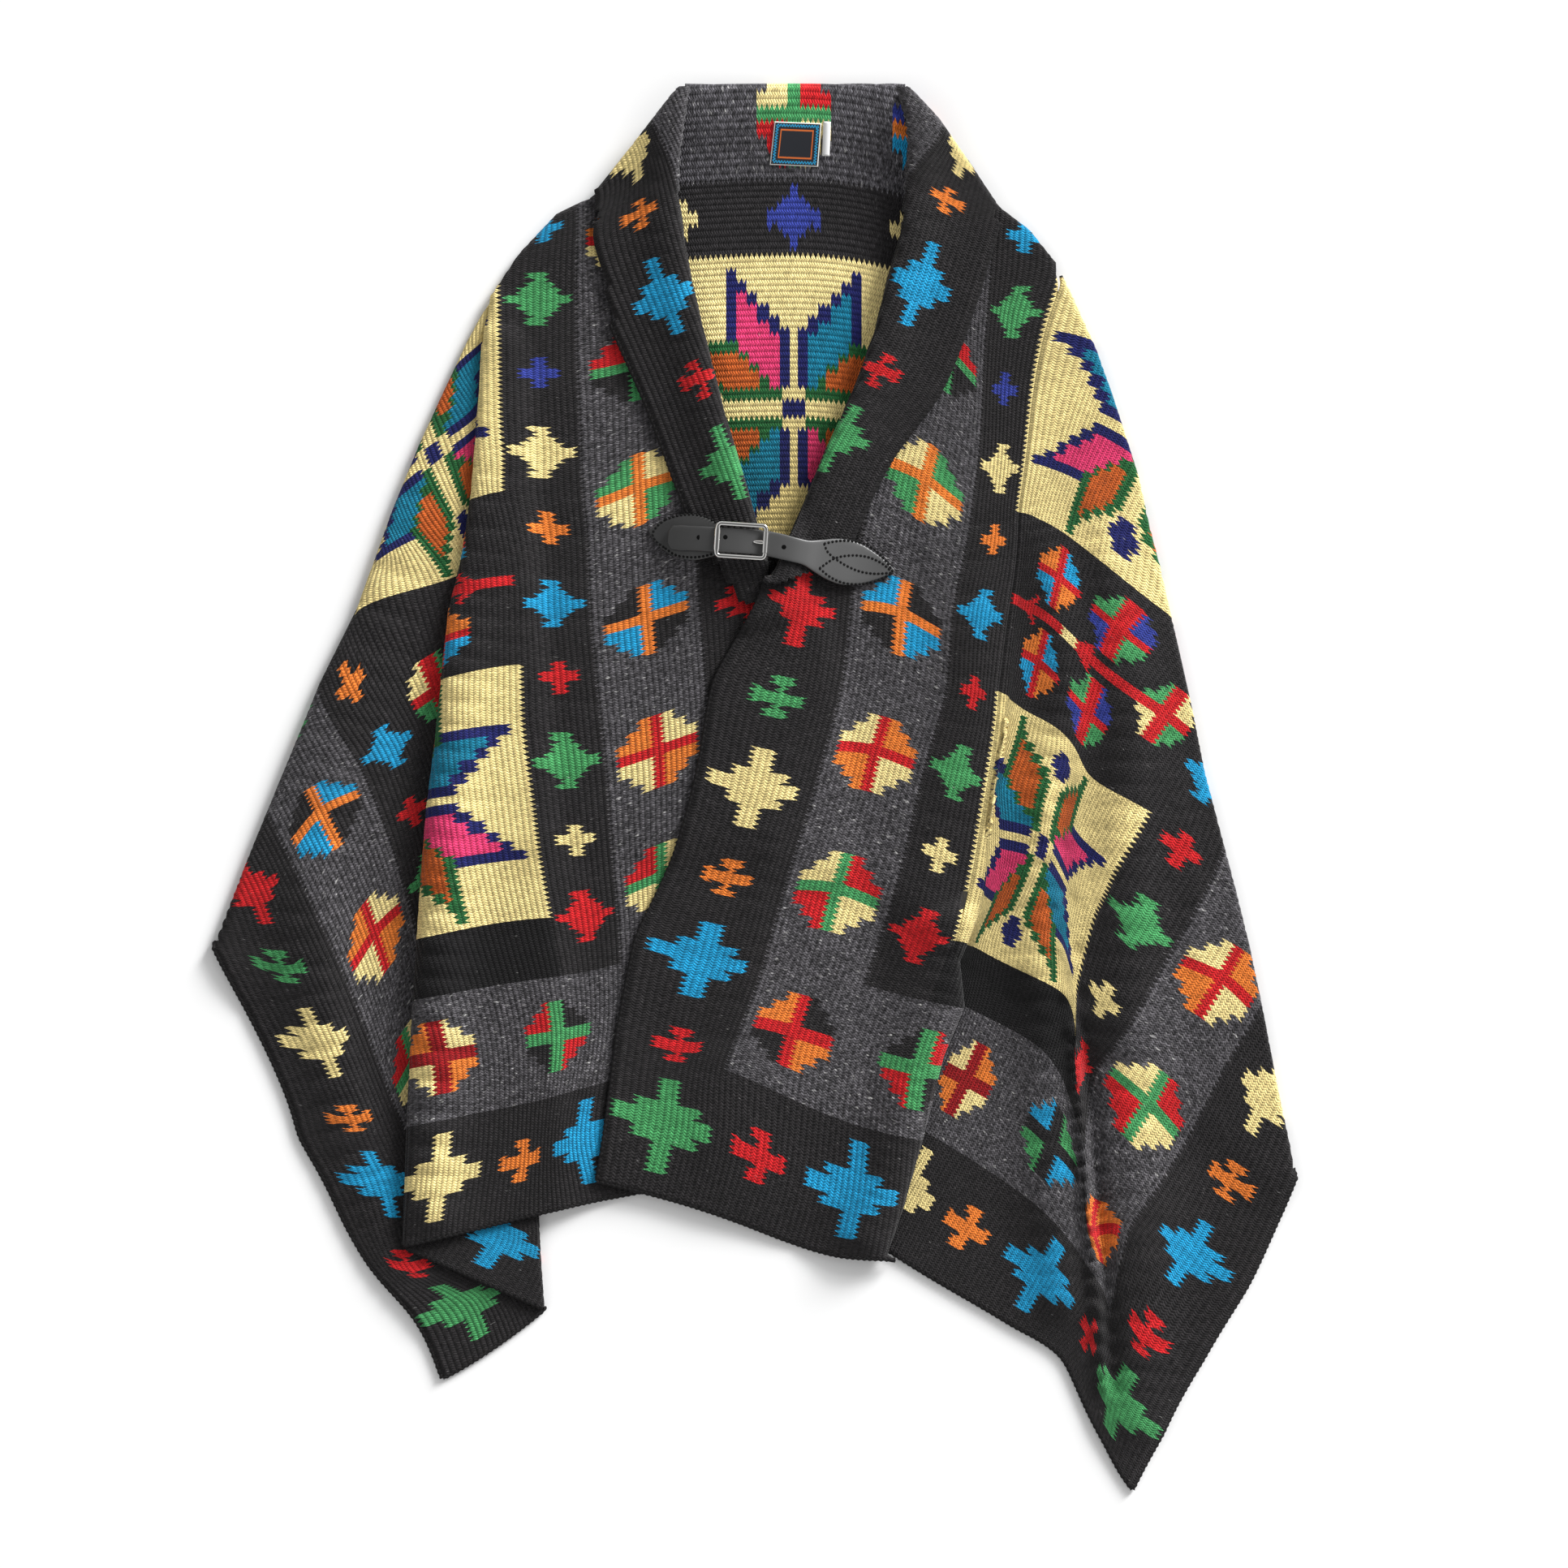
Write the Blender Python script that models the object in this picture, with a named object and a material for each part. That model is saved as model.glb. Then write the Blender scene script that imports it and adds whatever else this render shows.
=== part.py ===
"""Blanket poncho laid flat: one heavy woven blanket, folded and buckled, metres, +Z up."""
import math

import bmesh
import bpy
import numpy as np

for old in list(bpy.data.objects):
    bpy.data.objects.remove(old, do_unlink=True)

MM = 0.001

# Cloth sizes in millimetres
CLOTH = 3.8
SEAM_GAP = 0.5
EDGE_LIP = 0.45
SIDE_GAP = 0.35
LAPEL_GAP = 1.5
DRAPE_REACH = 62.0
DRAPE_HOLD = 16.0
MIN_WALL = 1.6
SEAT_STEPS = ((8, 0), (-8, 0), (0, 12), (0, -12))
SEAT_SPREAD = 8.0

# Each table is one stretch of the blanket, a row for each section down the garment.
# Columns: left edge x and y, right edge x and y, rise of the row's middle, all in millimetres.
COLUMNS = ("left_x", "left_y", "right_x", "right_y", "rise")

BACK = (
    (-58, 647, 126, 647, 0),
    (-67, 628, 141, 628, 0),
    (-95, 590, 172, 594, 0),
    (-137, 545, 213, 545, 0),
    (-172, 519, 243, 508, 0),
    (-208, 485, 266, 481, 0),
    (-238, 440, 285, 447, 0),
    (-261, 395, 304, 406, 0),
    (-292, 331, 328, 350, 0),
    (-322, 256, 349, 275, 0),
    (-354, 174, 375, 166, 2),
    (-391, 84, 396, 73, 10),
    (-431, -13, 414, -13, 50),
    (-459, -81, 439, -115, 110),
    (-480, -130, 465, -242, 175),
    (-487, -149, 490, -344, 221),
)

LEFT_WING = (
    (-255, 427, -250, 410, 0),
    (-269, 404, -248, 384, 0),
    (-290, 357, -245, 343, 0),
    (-311, 311, -242, 294, 0),
    (-335, 252, -239, 238, 0),
    (-367, 163, -234, 155, 0),
    (-401, 95, -230, 95, 0),
    (-430, 24, -224, 32, 0),
    (-468, -68, -218, -47, 0),
    (-500, -150, -212, -122, 0),
    (-466, -228, -207, -197, 0),
    (-419, -327, -204, -280, 0),
    (-368, -425, -201, -362, 0),
    (-312, -517, -197, -445, 0),
    (-289, -548, -194, -484, 0),
)

LEFT_PLEAT = (
    (-249, 395, -243, 395, 0),
    (-261, 245, -233, 245, 0),
    (-282, 125, -224, 125, 0),
    (-299, -25, -216, -25, 0),
    (-307, -137, -210, -137, 0),
    (-316, -287, -204, -287, 0),
    (-321, -400, -200, -394, 0),
    (-322, -428, -194, -482, 0),
)

LEFT_FRONT = (
    (-69, 635, -62, 638, 0),
    (-98, 601, -68, 605, 0),
    (-124, 571, -71, 575, 0),
    (-150, 543, -72, 538, 0),
    (-183, 527, -70, 511, 0),
    (-218, 490, -64, 487, 0),
    (-244, 451, -58, 447, 0),
    (-252, 406, -45, 406, 0),
    (-256, 343, -31, 346, 0),
    (-262, 268, -8, 268, 0),
    (-271, 208, 20, 200, 0),
    (-283, 159, 36, 140, 0),
    (-289, 100, 45, 88, 0),
    (-295, 41, 50, 28, 0),
    (-303, -23, 53, -25, 0),
    (-309, -98, 56, -100, 0),
    (-316, -203, 59, -197, 2),
    (-322, -327, 64, -302, 5),
    (-325, -425, 75, -362, 11),
)

# The right side is split where the front band meets the shoulder, then along the lower pleat.
RIGHT_FRONT = (
    (132, 639, 141, 641, 0),
    (140, 602, 170, 613, 0),
    (140, 564, 201, 571, 0),
    (137, 530, 225, 534, 0),
    (133, 497, 254, 512, 0),
    (128, 482, 278, 482, 0),
    (122, 447, 281, 448, 0),
    (110, 405, 273, 407, 0),
    (96, 368, 265, 365, 0),
    (80, 337, 255, 328, 0),
    (62, 297, 248, 283, 0),
    (47, 253, 243, 245, 0),
    (29, 216, 238, 200, 0),
    (11, 189, 233, 155, 0),
    (-19, 133, 227, 110, 0),
    (-41, 88, 222, 65, 0),
    (-47, 26, 213, 13, 0),
    (-68, -36, 203, -47, 0),
    (-89, -100, 194, -100, 0),
    (-114, -153, 188, -149, 0),
    (-122, -201, 194, -205, 0),
    (-131, -250, 175, -250, 0),
    (-139, -325, 156, -325, -1),
    (-142, -348, 137, -392, -2),
    (-146, -365, 122, -435, -4),
)
PLEAT_ROW = 19

RIGHT_WING_EDGE = (
    (281, 477), (295, 448), (315, 403), (330, 361), (342, 324), (355, 283), (364, 241),
    (375, 199), (385, 154), (395, 110), (405, 65), (415, 14), (431, -47), (445, -100), (457, -149),
)
RIGHT_WING_LOW = (
    (172, -195, 470, -212, 0),
    (150, -252, 483, -280, 0),
    (130, -325, 495, -336, 2),
    (118, -375, 499, -362, 8),
    (110, -400, 486, -396, 16),
    (106, -415, 457, -460, 34),
    (103, -424, 411, -536, 50),
    (101, -431, 367, -619, 64),
    (100, -436, 349, -651, 68),
)

LEFT_LAPEL = (
    (-70, 643, -58, 648, 0),
    (-94, 613, -63, 613, 0),
    (-120, 581, -67, 583, 0),
    (-147, 548, -69, 545, 0),
    (-139, 508, -64, 500, 0),
    (-130, 468, -57, 463, 0),
    (-122, 428, -48, 425, 0),
    (-106, 380, -36, 377, 0),
    (-94, 347, -26, 339, 0),
    (-82, 305, -15, 302, 0),
    (-66, 268, -4, 266, 0),
    (-46, 230, 5, 234, 0),
    (-28, 200, 13, 204, 0),
    (-9, 172, 15, 179, 0),
)
RIGHT_LAPEL = (
    (128, 647, 143, 641, 0),
    (137, 613, 170, 613, 0),
    (140, 587, 193, 581, 0),
    (137, 557, 224, 536, 0),
    (134, 508, 212, 500, 0),
    (122, 467, 198, 467, 0),
    (110, 418, 187, 419, 0),
    (94, 373, 165, 377, 0),
    (79, 339, 149, 341, 0),
    (62, 302, 131, 302, 0),
    (45, 260, 111, 268, 0),
    (29, 223, 83, 229, 0),
    (19, 200, 53, 204, 0),
    (13, 191, 26, 191, 0),
)

# Main folds. Columns: x and y of a point on the crest, crest height there, half width of the fold.
FRONT_FOLD_LEFT = (
    (-236, 330, 1, 22),
    (-247, 208, 6, 26),
    (-266, 100, 11, 27),
    (-279, -23, 14, 28),
    (-287, -120, 14, 27),
    (-293, -240, 12, 26),
    (-298, -390, 10, 26),
)
LEFT_FRONT_SOFT = (
    (-150, 330, 2, 45),
    (-160, 120, 5, 48),
    (-175, -110, 3, 52),
    (-150, -330, 5, 50),
)
WING_RIDGE_LEFT = (
    (-300, 300, 2, 22),
    (-352, 120, 7, 32),
    (-392, 0, 11, 38),
    (-412, -130, 12, 38),
    (-388, -270, 9, 28),
    (-352, -400, 5, 22),
    (-318, -490, 2, 20),
)
FRONT_FOLD_RIGHT = (
    (186, -130, 3, 24),
    (170, -215, 10, 26),
    (150, -270, 13, 27),
    (128, -350, 13, 27),
    (104, -415, 11, 26),
)
RIGHT_FRONT_SOFT = (
    (190, 330, 2, 34),
    (203, 150, 7, 36),
    (188, 10, 8, 38),
    (150, -110, 6, 40),
)
RIGHT_HEM_SOFT = (
    (20, 40, 1, 46),
    (-10, -120, 4, 48),
    (-30, -330, 6, 46),
)
VALLEY_SIDE_LEFT = (
    (262, 260, 1, 24),
    (274, 190, 7, 24),
    (284, 90, 9, 24),
    (268, -20, 10, 26),
    (264, -130, 9, 26),
    (270, -250, 9, 28),
    (276, -370, 10, 28),
    (284, -470, 9, 24),
)
VALLEY_SIDE_RIGHT = (
    (318, 260, 2, 28),
    (334, 170, 9, 30),
    (346, 50, 12, 34),
    (346, -70, 13, 36),
    (344, -200, 12, 36),
    (350, -340, 12, 38),
    (356, -470, 11, 36),
    (352, -580, 8, 26),
)


def curve_rows(table, count, straight=()):
    """Smooth rows between the sections, first and last kept; straight columns stay linear."""
    rows = np.asarray(table, float)
    last = len(rows) - 1
    places = np.linspace(0, last, count)
    base = np.minimum(places.astype(int), last - 1)
    part = (places - base)[:, None]
    before = rows[np.maximum(base - 1, 0)]
    here = rows[base]
    after = rows[base + 1]
    beyond = rows[np.minimum(base + 2, last)]
    slope_in = (after - before) / 2
    slope_out = (beyond - here) / 2
    cube = 2 * part**3 - 3 * part**2 + 1
    smooth = (
        cube * here
        + (part**3 - 2 * part**2 + part) * slope_in
        + (1 - cube) * after
        + (part**3 - part**2) * slope_out
    )
    linear = here + part * (after - here)
    for column in straight:
        smooth[:, column] = linear[:, column]
    return smooth


def lean(share):
    """The bow of a row, fullest past its middle as the hem is."""
    return np.sin(math.pi * share**1.35)


def even_bow(share):
    return 4 * share * (1 - share)


def outline(sections, bow):
    shares = np.linspace(0, 1, 9)
    top = row_points(sections[0], shares, bow)
    low = row_points(sections[-1], shares, bow)
    left = sections[1:-1, 0:2]
    right = sections[1:-1, 2:4]
    return np.vstack([top, right, low[::-1], left[::-1]])


def row_points(section, shares, bow):
    left_x, left_y, right_x, right_y, rise = section
    xs = left_x + (right_x - left_x) * shares
    ys = left_y + (right_y - left_y) * shares + rise * bow(shares)
    return np.stack([xs, ys], axis=1)


def inside_depth(points, ring):
    """Distance from the ring's edge, positive inside."""
    start = ring
    end = np.roll(ring, -1, axis=0)
    edge = end - start
    length = np.maximum((edge**2).sum(1), 1e-9)
    offset = points[:, None, :] - start[None]
    along = np.clip((offset * edge[None]).sum(2) / length, 0, 1)
    gap = offset - along[..., None] * edge[None]
    distance = np.sqrt((gap**2).sum(2)).min(1)
    py = points[:, 1][:, None]
    px = points[:, 0][:, None]
    crosses = (start[None, :, 1] > py) != (end[None, :, 1] > py)
    rise = np.where(np.abs(edge[:, 1]) < 1e-9, 1e-9, edge[:, 1])
    meet = start[None, :, 0] + (py - start[None, :, 1]) * edge[None, :, 0] / rise[None]
    inside = (crosses & (px < meet)).sum(1) % 2 == 1
    return np.where(inside, distance, -distance)


def soft_step(value):
    value = np.clip(value, 0, 1)
    return value * value * (3 - 2 * value)


def fold_height(points, table):
    """Height of one soft fold at the given points."""
    crest = curve_rows(table, 5 * len(table))
    gap = points[:, None, :] - crest[None, :, 0:2]
    distance = np.sqrt((gap**2).sum(2))
    near = distance.argmin(1)
    reach = distance.min(1) / crest[near, 3]
    return crest[near, 2] * np.exp(-(reach**2))


class Stretch:
    """One stretch of the blanket, lying on the stretches below it."""

    def __init__(self, name, table, folds, below, rows, bow=even_bow, lift=None, straight=()):
        self.name = name
        self.sections = curve_rows(table, rows, straight)
        self.folds = folds
        self.below = below
        self.bow = bow
        self.lift = lift
        self.thick = CLOTH
        self.gap = LAPEL_GAP if lift is not None and below else SEAM_GAP
        self.ring = outline(self.sections, bow)

    def floor(self, points, spread=0.0):
        height = np.zeros(len(points))
        for lower in self.below:
            height = np.maximum(height, lower.cover(points, spread))
        return height + self.gap * np.clip(height / 0.4, 0, 1)

    def seat(self, points):
        """The underside, raised over the facets of the layers below."""
        height = self.floor(points, SEAT_SPREAD)
        for across, along in SEAT_STEPS:
            shifted = points + np.array([across, along])
            height = np.maximum(height, self.floor(shifted, SEAT_SPREAD))
        return height

    def top(self, points):
        height = self.floor(points) + self.thick
        for fold in self.folds:
            height = height + fold_height(points, fold)
        if self.lift is not None:
            height = height + self.lift(self, points)
        return height

    def cover(self, points, spread=0.0):
        depth = inside_depth(points, self.ring) + spread
        hold = soft_step((depth + DRAPE_REACH) / (DRAPE_REACH - DRAPE_HOLD))
        return self.top(points) * hold


class Underlap:
    """The hidden edge of a pleat that another stretch rests on."""

    def __init__(self, owner, ring):
        self.owner = owner
        self.ring = np.asarray(ring, float)

    def cover(self, points, spread=0.0):
        depth = inside_depth(points, self.ring) + 0.3 * spread
        hold = soft_step((depth + DRAPE_REACH) / (DRAPE_REACH - DRAPE_HOLD))
        return self.owner.top(points) * hold


def neck_roll(stretch, points):
    """The collar is turned under the back neck, so the back stands higher there."""
    return 9.0 * soft_step((points[:, 1] - 545) / 80)


def lapel_roll(inner_side):
    def lift(stretch, points):
        inner = stretch.sections[:, inner_side:inner_side + 2]
        gap = points[:, None, :] - inner[None]
        distance = np.sqrt((gap**2).sum(2)).min(1)
        flat = soft_step((points[:, 1] - 200) / 110)
        return (1.5 + 7.5 * flat) * np.exp(-((distance - 13) / 24) ** 2)
    return lift


def side_shares(width, left_roll, right_roll, columns):
    """Places across a row, closer together where an edge rolls."""
    left_steps = (0.0, 0.07, 0.22, 0.5, 1.0)
    right_steps = left_steps
    left_part = min(left_roll / width, 0.24)
    right_part = min(right_roll / width, 0.24)
    left = [step * left_part for step in left_steps] if left_roll > 0 else [0.0]
    right = [1 - step * right_part for step in right_steps] if right_roll > 0 else [1.0]
    inner = columns - len(left) - len(right)
    middle = np.linspace(left[-1], right[-1], inner + 2)[1:-1]
    return np.array(left + list(middle) + right[::-1])


def edge_round(distance, roll):
    if roll <= 0:
        return np.ones_like(distance)
    near = np.clip(distance / roll, 0, 1)
    return np.sqrt(np.clip(1 - (1 - near) ** 2, 0, 1))


def build_stretch(stretch, columns, left_roll, right_roll, top_roll=0.0):
    """A closed solid between the stretch's top and the layers under it."""
    rows = len(stretch.sections)
    tops = []
    lows = []
    for index, section in enumerate(stretch.sections):
        width = math.hypot(section[2] - section[0], section[3] - section[1])
        shares = side_shares(width, left_roll, right_roll, columns)
        spots = row_points(section, shares, stretch.bow)
        low = stretch.seat(spots)
        top = np.maximum(stretch.top(spots), low + MIN_WALL)
        curl = edge_round(shares * width, min(left_roll, 0.24 * width) if left_roll else 0)
        curl = curl * edge_round((1 - shares) * width, min(right_roll, 0.24 * width) if right_roll else 0)
        if top_roll > 0:
            down = np.full(len(shares), stretch.sections[0][1] - section[1])
            curl = curl * edge_round(np.abs(down), top_roll)
        middle = low + 0.42 * (top - low)
        high = middle + np.maximum((top - middle) * curl, EDGE_LIP)
        deep = middle - np.maximum((middle - low) * curl, EDGE_LIP)
        tops.append(np.column_stack([spots, high]))
        lows.append(np.column_stack([spots, deep]))
    make_slab(stretch.name, np.array(tops), np.array(lows))


def make_slab(name, top, low):
    mesh = bpy.data.meshes.new(name)
    work = bmesh.new()
    rows, columns = top.shape[:2]
    upper = [[work.verts.new(point * MM) for point in row] for row in top]
    under = [[work.verts.new(point * MM) for point in row] for row in low]
    for r in range(rows - 1):
        for c in range(columns - 1):
            work.faces.new((upper[r][c], upper[r + 1][c], upper[r + 1][c + 1], upper[r][c + 1]))
            work.faces.new((under[r][c], under[r][c + 1], under[r + 1][c + 1], under[r + 1][c]))
    rim = [(0, c) for c in range(columns)]
    rim += [(r, columns - 1) for r in range(1, rows)]
    rim += [(rows - 1, c) for c in range(columns - 2, -1, -1)]
    rim += [(r, 0) for r in range(rows - 2, 0, -1)]
    for place, (r, c) in enumerate(rim):
        r_next, c_next = rim[(place + 1) % len(rim)]
        work.faces.new((upper[r][c], upper[r_next][c_next], under[r_next][c_next], under[r][c]))
    bmesh.ops.recalc_face_normals(work, faces=work.faces)
    work.to_mesh(mesh)
    work.free()
    thing = bpy.data.objects.new(name, mesh)
    bpy.context.scene.collection.objects.link(thing)
    for face in mesh.polygons:
        face.use_smooth = True
    return thing


def paint(name, colour, roughness, metallic=0.0):
    material = bpy.data.materials.new(name + "_look")
    material.use_nodes = True
    shader = material.node_tree.nodes["Principled BSDF"]
    shader.inputs["Base Color"].default_value = (*colour, 1.0)
    shader.inputs["Roughness"].default_value = roughness
    shader.inputs["Metallic"].default_value = metallic
    thing = bpy.data.objects[name]
    thing.data.materials.clear()
    thing.data.materials.append(material)


# The stretches, lowest first
def right_wing_table():
    rows = []
    seam = RIGHT_FRONT[5:PLEAT_ROW + 1]
    shift = SIDE_GAP
    for index, (edge, section) in enumerate(zip(RIGHT_WING_EDGE, seam)):
        left_x = section[2] + shift
        left_y = section[3]
        if index == 0:
            left_x = 279.6
            left_y = 473.0
        rows.append((left_x, left_y, edge[0], edge[1], 0))
    return tuple(rows) + RIGHT_WING_LOW


RIGHT_FOLDS = (FRONT_FOLD_RIGHT, RIGHT_FRONT_SOFT, RIGHT_HEM_SOFT)
WING_FOLDS = (RIGHT_FRONT_SOFT, VALLEY_SIDE_LEFT, VALLEY_SIDE_RIGHT)
PLEAT_UNDERLAP = (
    (188, -149), (196, -205), (177, -252), (158, -327), (139, -394), (124, -440),
    (98, -440), (108, -400), (128, -326), (148, -253), (168, -197),
)

back = Stretch("blanket_back", BACK, (), (), 26, lift=neck_roll)
left_wing = Stretch("blanket_left_wing", LEFT_WING, (WING_RIDGE_LEFT,), (back,), 31)
right_wing = Stretch("blanket_right_wing", right_wing_table(), WING_FOLDS, (back,), 47, bow=lean, straight=(0, 1))
left_pleat = Stretch("blanket_left_pleat", LEFT_PLEAT, (), (left_wing,), 34)
left_front = Stretch(
    "blanket_left_front", LEFT_FRONT, (FRONT_FOLD_LEFT, LEFT_FRONT_SOFT),
    (back, left_wing, left_pleat), 37,
)
left_lapel = Stretch(
    "lapel_left", LEFT_LAPEL, (), (left_front, back), 27, lift=lapel_roll(2),
)
right_front = Stretch(
    "blanket_right_front", RIGHT_FRONT, (FRONT_FOLD_RIGHT, RIGHT_FRONT_SOFT, VALLEY_SIDE_LEFT, RIGHT_HEM_SOFT),
    (back, left_front, left_lapel, Underlap(right_wing, PLEAT_UNDERLAP)), 49, straight=(2, 3),
)
right_lapel = Stretch(
    "lapel_right", RIGHT_LAPEL, (), (right_front, left_lapel, back), 27, lift=lapel_roll(0),
)

build_stretch(back, 16, 0, 0, top_roll=16)
build_stretch(left_wing, 17, 9, 0)
build_stretch(right_wing, 18, 0, 9)
build_stretch(left_pleat, 9, 5, 5)
build_stretch(left_front, 18, 13, 0)
build_stretch(right_front, 17, 0, 0)
build_stretch(left_lapel, 11, 0, 12)
build_stretch(right_lapel, 11, 12, 0)

# Strap and buckle, in millimetres. Columns: x and y along the middle, half widths up and down,
# height of the underside as the leather rides up over the lapels to the buckle.
TAB_SHAPE = (
    (-97.5, 234.0, 0.8, 0.8, 9.3),
    (-93.0, 233.2, 6.0, 6.5, 9.3),
    (-86.0, 232.0, 11.5, 12.5, 9.7),
    (-76.0, 230.5, 17.0, 18.0, 11.6),
    (-64.0, 228.8, 20.5, 21.0, 15.8),
    (-52.0, 227.4, 20.0, 21.0, 20.6),
    (-42.0, 226.3, 17.0, 18.0, 24.0),
    (-33.0, 225.4, 13.5, 14.5, 26.0),
)
# The strap passes over the buckle's bar and under its roller.
STRAP_SHAPE = (
    (-80.0, 228.0, 5.0, 5.0, 14.7),
    (-77.5, 227.8, 9.6, 9.6, 15.5),
    (-72.0, 227.4, 11.4, 11.4, 17.3),
    (-60.0, 226.7, 11.5, 11.5, 22.0),
    (-48.0, 226.0, 11.5, 11.5, 28.2),
    (-39.0, 225.4, 11.5, 11.5, 32.7),
    (-35.0, 225.2, 11.5, 11.5, 33.3),
    (-31.0, 224.9, 11.5, 11.5, 33.2),
    (-22.0, 224.3, 11.5, 11.5, 31.8),
    (-12.0, 223.7, 11.5, 11.5, 29.6),
    (-3.0, 223.1, 11.5, 11.5, 27.2),
    (5.0, 222.4, 11.5, 11.5, 25.5),
    (12.0, 221.6, 11.5, 11.5, 25.3),
    (24.0, 219.0, 11.5, 11.5, 26.5),
    (36.0, 216.0, 11.2, 11.3, 26.1),
    (48.0, 213.2, 11.6, 11.8, 22.9),
    (58.0, 211.0, 14.6, 15.4, 18.6),
    (69.0, 208.7, 18.2, 19.4, 15.6),
    (82.0, 206.2, 20.0, 21.6, 12.8),
    (96.0, 203.4, 18.2, 19.6, 10.0),
    (108.0, 201.2, 13.4, 14.4, 8.7),
    (119.0, 199.2, 7.4, 8.2, 8.7),
    (126.0, 197.9, 3.0, 3.4, 8.7),
    (129.0, 197.3, 0.8, 0.8, 8.7),
)
BAR_HEIGHT = 31.0
TAB_THICK = 2.8
STRAP_THICK = 2.5
PLATE_COLUMNS = (-1.0, -0.9, 0.0, 0.9, 1.0)
EDGE_DROP = 0.5
BUCKLE_MIDDLE = (-12.2, 224.0)
BUCKLE_TURN = math.radians(-3.6)
BUCKLE_HALF_LENGTH = 22.2
BUCKLE_HALF_HEIGHT = 14.9
BUCKLE_CORNER = 3.4
BUCKLE_WIRE = 1.8
PIN_WIRE = 1.35
ROLLER_OUTER = 2.7
ROLLER_INNER = 1.75
ROLLER_HALF = 9.8
PRONG_WIRE = 1.25
PRONG_START = (-1.8, 223.4)
PRONG_END = (13.0, 222.2)
LABEL_CORNERS = ((18.2, 611.3), (61.6, 609.5), (58.5, 570.0), (13.7, 571.9))
TAG_CORNERS = ((63.2, 611.2), (70.2, 610.9), (69.0, 579.6), (62.0, 579.9))
LABEL_THICK = 0.8
LABEL_SEAT = 0.8


def plate_points(shape):
    rows = np.asarray(shape, float)
    along = np.gradient(rows[:, 0:2], axis=0)
    along /= np.linalg.norm(along, axis=1)[:, None]
    across = np.stack([-along[:, 1], along[:, 0]], axis=1)
    spots = []
    for row, side in zip(rows, across):
        reach = [step * (row[2] if step > 0 else row[3]) for step in PLATE_COLUMNS]
        spots.append(row[0:2] + np.outer(reach, side))
    return np.array(spots)


def make_plate(name, shape, thick):
    spots = plate_points(shape)
    heights = np.asarray(shape, float)[:, 4]
    lows = np.repeat(heights[:, None], len(PLATE_COLUMNS), axis=1)
    drop = np.array([EDGE_DROP if abs(step) == 1.0 else 0.0 for step in PLATE_COLUMNS])
    top = np.dstack([spots, lows + thick - drop])
    under = np.dstack([spots, lows + 0.3 * drop])
    make_slab(name, top, under)


def sweep(name, path, radii, sides=10, closed=True):
    """A round wire along a path of points."""
    mesh = bpy.data.meshes.new(name)
    work = bmesh.new()
    path = np.asarray(path, float)
    count = len(path)
    rings = []
    for index in range(count):
        after = path[(index + 1) % count] if closed or index + 1 < count else path[index]
        before = path[index - 1] if closed or index > 0 else path[index]
        along = after - before
        along /= np.linalg.norm(along)
        side = np.cross(along, (0.0, 0.0, 1.0))
        side /= np.linalg.norm(side)
        rise = np.cross(side, along)
        ring = []
        for step in range(sides):
            angle = 2 * math.pi * step / sides
            spot = path[index] + radii[index] * (math.cos(angle) * side + math.sin(angle) * rise)
            ring.append(work.verts.new(spot * MM))
        rings.append(ring)
    spans = count if closed else count - 1
    for index in range(spans):
        ring = rings[index]
        other = rings[(index + 1) % count]
        for step in range(sides):
            after = (step + 1) % sides
            work.faces.new((ring[step], ring[after], other[after], other[step]))
    if not closed:
        work.faces.new(rings[0][::-1])
        work.faces.new(rings[-1])
    bmesh.ops.recalc_face_normals(work, faces=work.faces)
    work.to_mesh(mesh)
    work.free()
    thing = bpy.data.objects.new(name, mesh)
    bpy.context.scene.collection.objects.link(thing)
    for face in mesh.polygons:
        face.use_smooth = True
    return thing


def buckle_spot(along, across, height):
    turn_x = math.cos(BUCKLE_TURN)
    turn_y = math.sin(BUCKLE_TURN)
    x = BUCKLE_MIDDLE[0] + along * turn_x - across * turn_y
    y = BUCKLE_MIDDLE[1] + along * turn_y + across * turn_x
    return (x, y, height)


def frame_path(height):
    """Rounded rectangle of wire, thinner where the roller turns on it."""
    path = []
    radii = []
    corners = ((1, 1), (-1, 1), (-1, -1), (1, -1))
    for index, (side_x, side_y) in enumerate(corners):
        centre_x = side_x * (BUCKLE_HALF_LENGTH - BUCKLE_CORNER)
        centre_y = side_y * (BUCKLE_HALF_HEIGHT - BUCKLE_CORNER)
        for step in range(4):
            angle = math.radians(90 * index + 30 * step)
            path.append(buckle_spot(
                centre_x + BUCKLE_CORNER * math.cos(angle),
                centre_y + BUCKLE_CORNER * math.sin(angle), height,
            ))
            radii.append(BUCKLE_WIRE)
    for across in (-ROLLER_HALF - 0.9, -ROLLER_HALF - 0.5, ROLLER_HALF + 0.5, ROLLER_HALF + 0.9):
        path.append(buckle_spot(BUCKLE_HALF_LENGTH, across, height))
        radii.append(PIN_WIRE if abs(across) < ROLLER_HALF + 0.6 else BUCKLE_WIRE)
    return path, radii


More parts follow.
